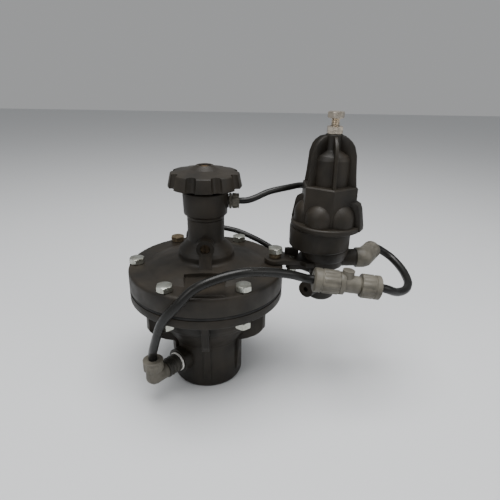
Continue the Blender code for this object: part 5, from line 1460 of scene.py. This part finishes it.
# points that each tube passes, between the fittings at its ends
routes = {
    "supply_tube": (
        (-0.0470, -0.0592, 0.0650),
        (-0.0440, -0.0635, 0.0760),
        (-0.0405, -0.0682, 0.0880),
        (-0.0371, -0.0713, 0.0980),
        (-0.0309, -0.0753, 0.1090),
        (-0.0228, -0.0778, 0.1190),
        (-0.0083, -0.0757, 0.1338),
        (0.0117, -0.0709, 0.1413),
        (0.0320, -0.0652, 0.1439),
        (0.0532, -0.0586, 0.1414),
        (0.0756, -0.0511, 0.1352),
    ),
    "loop_tube": (
        (0.1793, -0.0398, 0.1105),
        (0.1907, -0.0315, 0.1089),
        (0.1972, -0.0209, 0.1100),
        (0.1993, -0.0100, 0.1116),
        (0.1992, -0.0005, 0.1140),
        (0.1972, 0.0092, 0.1168),
        (0.1930, 0.0186, 0.1204),
        (0.1858, 0.0232, 0.1248),
    ),
    "control_tube": (
        (0.0614, 0.0080, 0.1942),
        (0.0778, 0.0149, 0.1960),
        (0.0935, 0.0265, 0.1955),
        (0.1040, 0.0370, 0.1915),
        (0.1098, 0.0432, 0.1850),
    ),
    "sensing_tube": (
        (-0.0228, 0.0897, 0.1240),
        (-0.0108, 0.0879, 0.1295),
        (0.0033, 0.0850, 0.1311),
        (0.0183, 0.0820, 0.1304),
        (0.0332, 0.0770, 0.1285),
        (0.0467, 0.0691, 0.1253),
        (0.0595, 0.0582, 0.1223),
        (0.0699, 0.0475, 0.1194),
    ),
}


# the four tubes of the pilot circuit, each held by a fitting at both ends
def makeTubes(tapEnd, loopEnd, senseTube, controlEnd):
    way, leftEnd, rightEnd = makeStrainer()
    makeTube("supply_tube", big, tapEnd, up, leftEnd, -way)
    makeTube("loop_tube", big, rightEnd, way, loopEnd, heading(elbow["turn"], elbow["rise"]))
    portX = limiter["collarTopR"] + limiter["collarPortProud"]
    port = Vector((portX, 0, collarZ + limiter["collarPortRise"]))
    collarNut = makeStraight("collar_fitting", port, right, sense["collarHexH"])
    collarEnd = makeSizedNut("collar_nut", small, collarNut, right, sense["collarNutL"])
    makeTube("control_tube", small, collarEnd, right, controlEnd, up)
    senseTop = Vector((sense["tapX"], sense["tapY"], senseTapTopZ))
    outletNut = makeStraight("outlet_nipple", senseTop, up, sense["hexH"])
    outletEnd = makeSizedNut("outlet_nut", small, outletNut, up)
    makeTube("sensing_tube", small, outletEnd, up, senseTube, heading(pilot["senseTurn"]))


# heights and places that follow from the sizes above
bodyTopZ = body["flangeUnderZ"] + body["flangeT"]
chamberR = body["bowlR"] - body["bowlWall"]
seatTubeR = body["boreR"] + body["seatWall"]
boltHoleR = bolt["radius"] + bolt["play"]
diaphragmZ = bodyTopZ + gap
dishedZ = diaphragmZ - closure["lift"]
plateZ = dishedZ + closure["diaphragmT"] + gap
plateTopZ = plateZ + closure["plateT"]
bonnetZ = diaphragmZ + closure["diaphragmT"] + gap
bonnetTopZ = bonnetZ + bonnet["rimH"]
springRoomZ = bonnetTopZ + bonnet["springRoomRise"]
neckTopZ = bonnetTopZ + bonnet["neckTopRise"]
sealZ = body["seatZ"] + gap
discZ = sealZ + closure["sealT"] + gap
discTopZ = discZ + closure["discT"] + closure["discHubH"]
stemTipZ = discTopZ - closure["stemTipL"]
collarZ = neckTopZ + gap
collarTopZ = collarZ + limiter["collarH"]
footZ = bonnetTopZ + limiter["footRise"]
stemTopZ = footZ - closure["lift"] - limiter["limitDown"] - gap
spindleZ = footZ + limiter["footT"] + gap
wheelFootZ = collarTopZ + wheel["clearance"]
wheelTopZ = wheelFootZ + wheel["rimH"]
wheelHubZ = wheelTopZ + wheel["hubRise"]
wheelWellZ = wheelHubZ - wheel["wellDepth"]
spindleTopZ = wheelWellZ - wheel["roofT"] - gap
bracketZ = bonnetTopZ + gap
bracketTopZ = bracketZ + bracket["thickness"]
baseTopZ = bracketZ + pilot["baseH"]
drumZ = baseTopZ + gap
drumTopZ = drumZ + pilot["drumH"]
pilotZ = drumTopZ + gap
pilotTopZ = pilotZ + pilot["height"]
pilotRimZ = pilotZ - gap - pilot["diaphragmT"]
followerZ = pilotRimZ - pilot["dish"] + pilot["diaphragmT"] + gap
screwHeadZ = pilotTopZ + screw["headRise"]
screwTipZ = screwHeadZ - screw["length"]
buttonZ = screwTipZ - gap - screw["buttonT"]
pilotCoilLow = followerZ + pilot["followerT"] + pilot["spoolLift"]
screwHoleR = screw["radius"] + bolt["play"]
senseTapTopZ = body["outletZ"] + sense["tapH"]
pilotAxis = right * pilot["x"]


# two linear tones, their patches per metre, range of roughness, grains per metre, their depth, metal
looks = {
    "black_plastic": ((0.009, 0.0074, 0.0052), (0.026, 0.0204, 0.014), 30.0, (0.42, 0.6), 1500.0, 0.1, 0.0),
    "grey_plastic": ((0.072, 0.066, 0.053), (0.15, 0.138, 0.112), 90.0, (0.38, 0.55), 1300.0, 0.08, 0.0),
    "dark_grey_plastic": ((0.026, 0.024, 0.02), (0.06, 0.055, 0.045), 90.0, (0.4, 0.58), 1300.0, 0.08, 0.0),
    "black_tube": ((0.0045, 0.0045, 0.0042), (0.011, 0.0105, 0.009), 45.0, (0.24, 0.4), 600.0, 0.03, 0.0),
    "rubber": ((0.01, 0.01, 0.01), (0.02, 0.019, 0.018), 80.0, (0.65, 0.85), 1800.0, 0.15, 0.0),
    "zinc_steel": ((0.52, 0.535, 0.49), (0.36, 0.35, 0.29), 260.0, (0.26, 0.46), 900.0, 0.05, 1.0),
    "nickel_steel": ((0.64, 0.57, 0.48), (0.5, 0.44, 0.36), 120.0, (0.2, 0.38), 900.0, 0.04, 1.0),
    "rusty_steel": ((0.11, 0.085, 0.052), (0.052, 0.038, 0.022), 420.0, (0.6, 0.9), 1600.0, 0.35, 0.3),
    "stainless_steel": ((0.52, 0.515, 0.5), (0.4, 0.395, 0.38), 200.0, (0.22, 0.38), 900.0, 0.04, 1.0),
    "brass": ((0.5, 0.345, 0.195), (0.3, 0.205, 0.115), 300.0, (0.3, 0.5), 900.0, 0.06, 1.0),
    "dull_brass": ((0.03, 0.022, 0.014), (0.07, 0.05, 0.03), 300.0, (0.45, 0.65), 1100.0, 0.08, 0.8),
    "sealing_tape": ((0.8, 0.79, 0.76), (0.64, 0.62, 0.57), 500.0, (0.6, 0.8), 1400.0, 0.3, 0.0),
}


# what all the finishes share
surface = {
    "specular": 0.28,
    "cloudRoughness": 0.6,
    "toneStops": (0.36, 0.72),
    "glossPatches": 2.3,
    "glossRange": (0.3, 0.7),
    "grainHeight": 0.0004,
    "cloudDetail": 6.0,
    "glossDetail": 4.0,
    "grainDetail": 2.0,
}


# one surface: two tones mixed by a soft cloud, uneven gloss and a fine grain
def makeFinish(name, tone, otherTone, patches, roughness, grains, depth, metal):
    made = bpy.data.materials.new(name)
    made.use_nodes = True
    nodes, links = made.node_tree.nodes, made.node_tree.links
    shader = nodes["Principled BSDF"]
    shader.inputs["Metallic"].default_value = metal
    shader.inputs["Specular IOR Level"].default_value = surface["specular"]
    place = nodes.new("ShaderNodeTexCoord")

    def noise(scale, detail):
        node = nodes.new("ShaderNodeTexNoise")
        node.inputs["Scale"].default_value = scale
        node.inputs["Detail"].default_value = detail
        links.new(place.outputs["Object"], node.inputs["Vector"])
        return node

    cloud = noise(patches, surface["cloudDetail"])
    cloud.inputs["Roughness"].default_value = surface["cloudRoughness"]
    tones = nodes.new("ShaderNodeValToRGB")
    for stop, position, color in zip(tones.color_ramp.elements, surface["toneStops"], (tone, otherTone)):
        stop.position = position
        stop.color = (*color, 1.0)
    links.new(cloud.outputs["Fac"], tones.inputs["Fac"])
    links.new(tones.outputs["Color"], shader.inputs["Base Color"])
    gloss = nodes.new("ShaderNodeMapRange")
    span = (*surface["glossRange"], *roughness)
    for label, value in zip(("From Min", "From Max", "To Min", "To Max"), span):
        gloss.inputs[label].default_value = value
    unevenness = noise(patches * surface["glossPatches"], surface["glossDetail"])
    links.new(unevenness.outputs["Fac"], gloss.inputs["Value"])
    links.new(gloss.outputs["Result"], shader.inputs["Roughness"])
    bump = nodes.new("ShaderNodeBump")
    bump.inputs["Strength"].default_value = depth
    bump.inputs["Distance"].default_value = surface["grainHeight"]
    links.new(noise(grains, surface["grainDetail"]).outputs["Fac"], bump.inputs["Height"])
    links.new(bump.outputs["Normal"], shader.inputs["Normal"])
    return made


finishes = {name: makeFinish(name, *look) for name, look in looks.items()}
print("finishes made")

makeBody()
makeClosure()
makeBonnet()
makeBolts()
print("main valve made")
makeLimiter()
tapEnd = makeTap()
makeBracket()
loopEnd, senseTube = makePilotBase()
controlEnd = makeDrum()
makePilotBonnet()
makePilotInsides()
makeSetter()
print("pilot made")
makeTubes(tapEnd, loopEnd, senseTube, controlEnd)
print("tubes and fittings made")

settleAll()
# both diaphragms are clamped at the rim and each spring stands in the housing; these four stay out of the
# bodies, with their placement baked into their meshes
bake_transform(pieces["diaphragm"])
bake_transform(pieces["main_spring"])
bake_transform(pieces["pilot_diaphragm"])
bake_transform(pieces["pilot_spring"])
for name, node in frame["nodes"].items():
    if name not in pieces:
        node.data.materials.clear()
        node.data.materials.append(finishes[slotOf[name]])
print(len(pieces), "pieces settled")

# the photograph's view, and a plain stage with soft light
stage = {
    "eye": (0.0171, -0.3873, 0.3003),
    "turns": (("Z", -3.75), ("X", 67.20), ("Z", 1.26)),
    "lens": 30.94,
    "sensor": 36.0,
    "nearest": 0.01,
    "floorSize": 6.0,
    "floorColor": (0.66, 0.67, 0.68),
    "worldColor": (0.80, 0.81, 0.82),
    "floorRoughness": 0.8,
    "worldStrength": 0.44,
    # name, place, aim, size, power
    "lamps": (
        ("overhead", (0.05, -0.10, 1.15), (0.05, 0.0, 0.10), 0.8, 17.0),
        ("front left", (-0.75, -0.70, 0.75), (0.03, 0.0, 0.12), 0.6, 4.0),
        ("front right", (0.85, -0.50, 0.55), (0.05, 0.0, 0.12), 0.6, 2.5),
    ),
}


def makeCamera():
    data = bpy.data.cameras.new("camera")
    data.lens = stage["lens"]
    data.sensor_width = stage["sensor"]
    data.clip_start = stage["nearest"]
    camera = placed("camera", data)
    view = Matrix.Translation(Vector(stage["eye"]) + home)
    for axis, angle in stage["turns"]:
        view @= Matrix.Rotation(math.radians(angle), 4, axis)
    camera.matrix_world = view
    bpy.context.scene.camera = camera


def makeFloor():
    bm = bmesh.new()
    bmesh.ops.create_grid(bm, x_segments=1, y_segments=1, size=stage["floorSize"] / 2)
    floor = placed("floor", meshOf("floor", bm))
    paint = bpy.data.materials.new("floor")
    paint.use_nodes = True
    shader = paint.node_tree.nodes["Principled BSDF"]
    shader.inputs["Base Color"].default_value = (*stage["floorColor"], 1.0)
    shader.inputs["Roughness"].default_value = stage["floorRoughness"]
    floor.data.materials.append(paint)


# a square lamp that looks at a point on the valve
def makeLamp(name, place, aim, size, power):
    data = bpy.data.lights.new(name, "AREA")
    data.shape = "SQUARE"
    data.size = size
    data.energy = power
    lamp = placed(name, data)
    lamp.location = Vector(place) + home
    lamp.rotation_euler = (Vector(aim) - Vector(place)).to_track_quat("-Z", "Y").to_euler()


makeCamera()
makeFloor()
for lamp in stage["lamps"]:
    makeLamp(*lamp)
world = bpy.data.worlds.new("studio")
world.use_nodes = True
background = world.node_tree.nodes["Background"]
background.inputs["Color"].default_value = (*stage["worldColor"], 1.0)
background.inputs["Strength"].default_value = stage["worldStrength"]
bpy.context.scene.world = world
print("stage set")
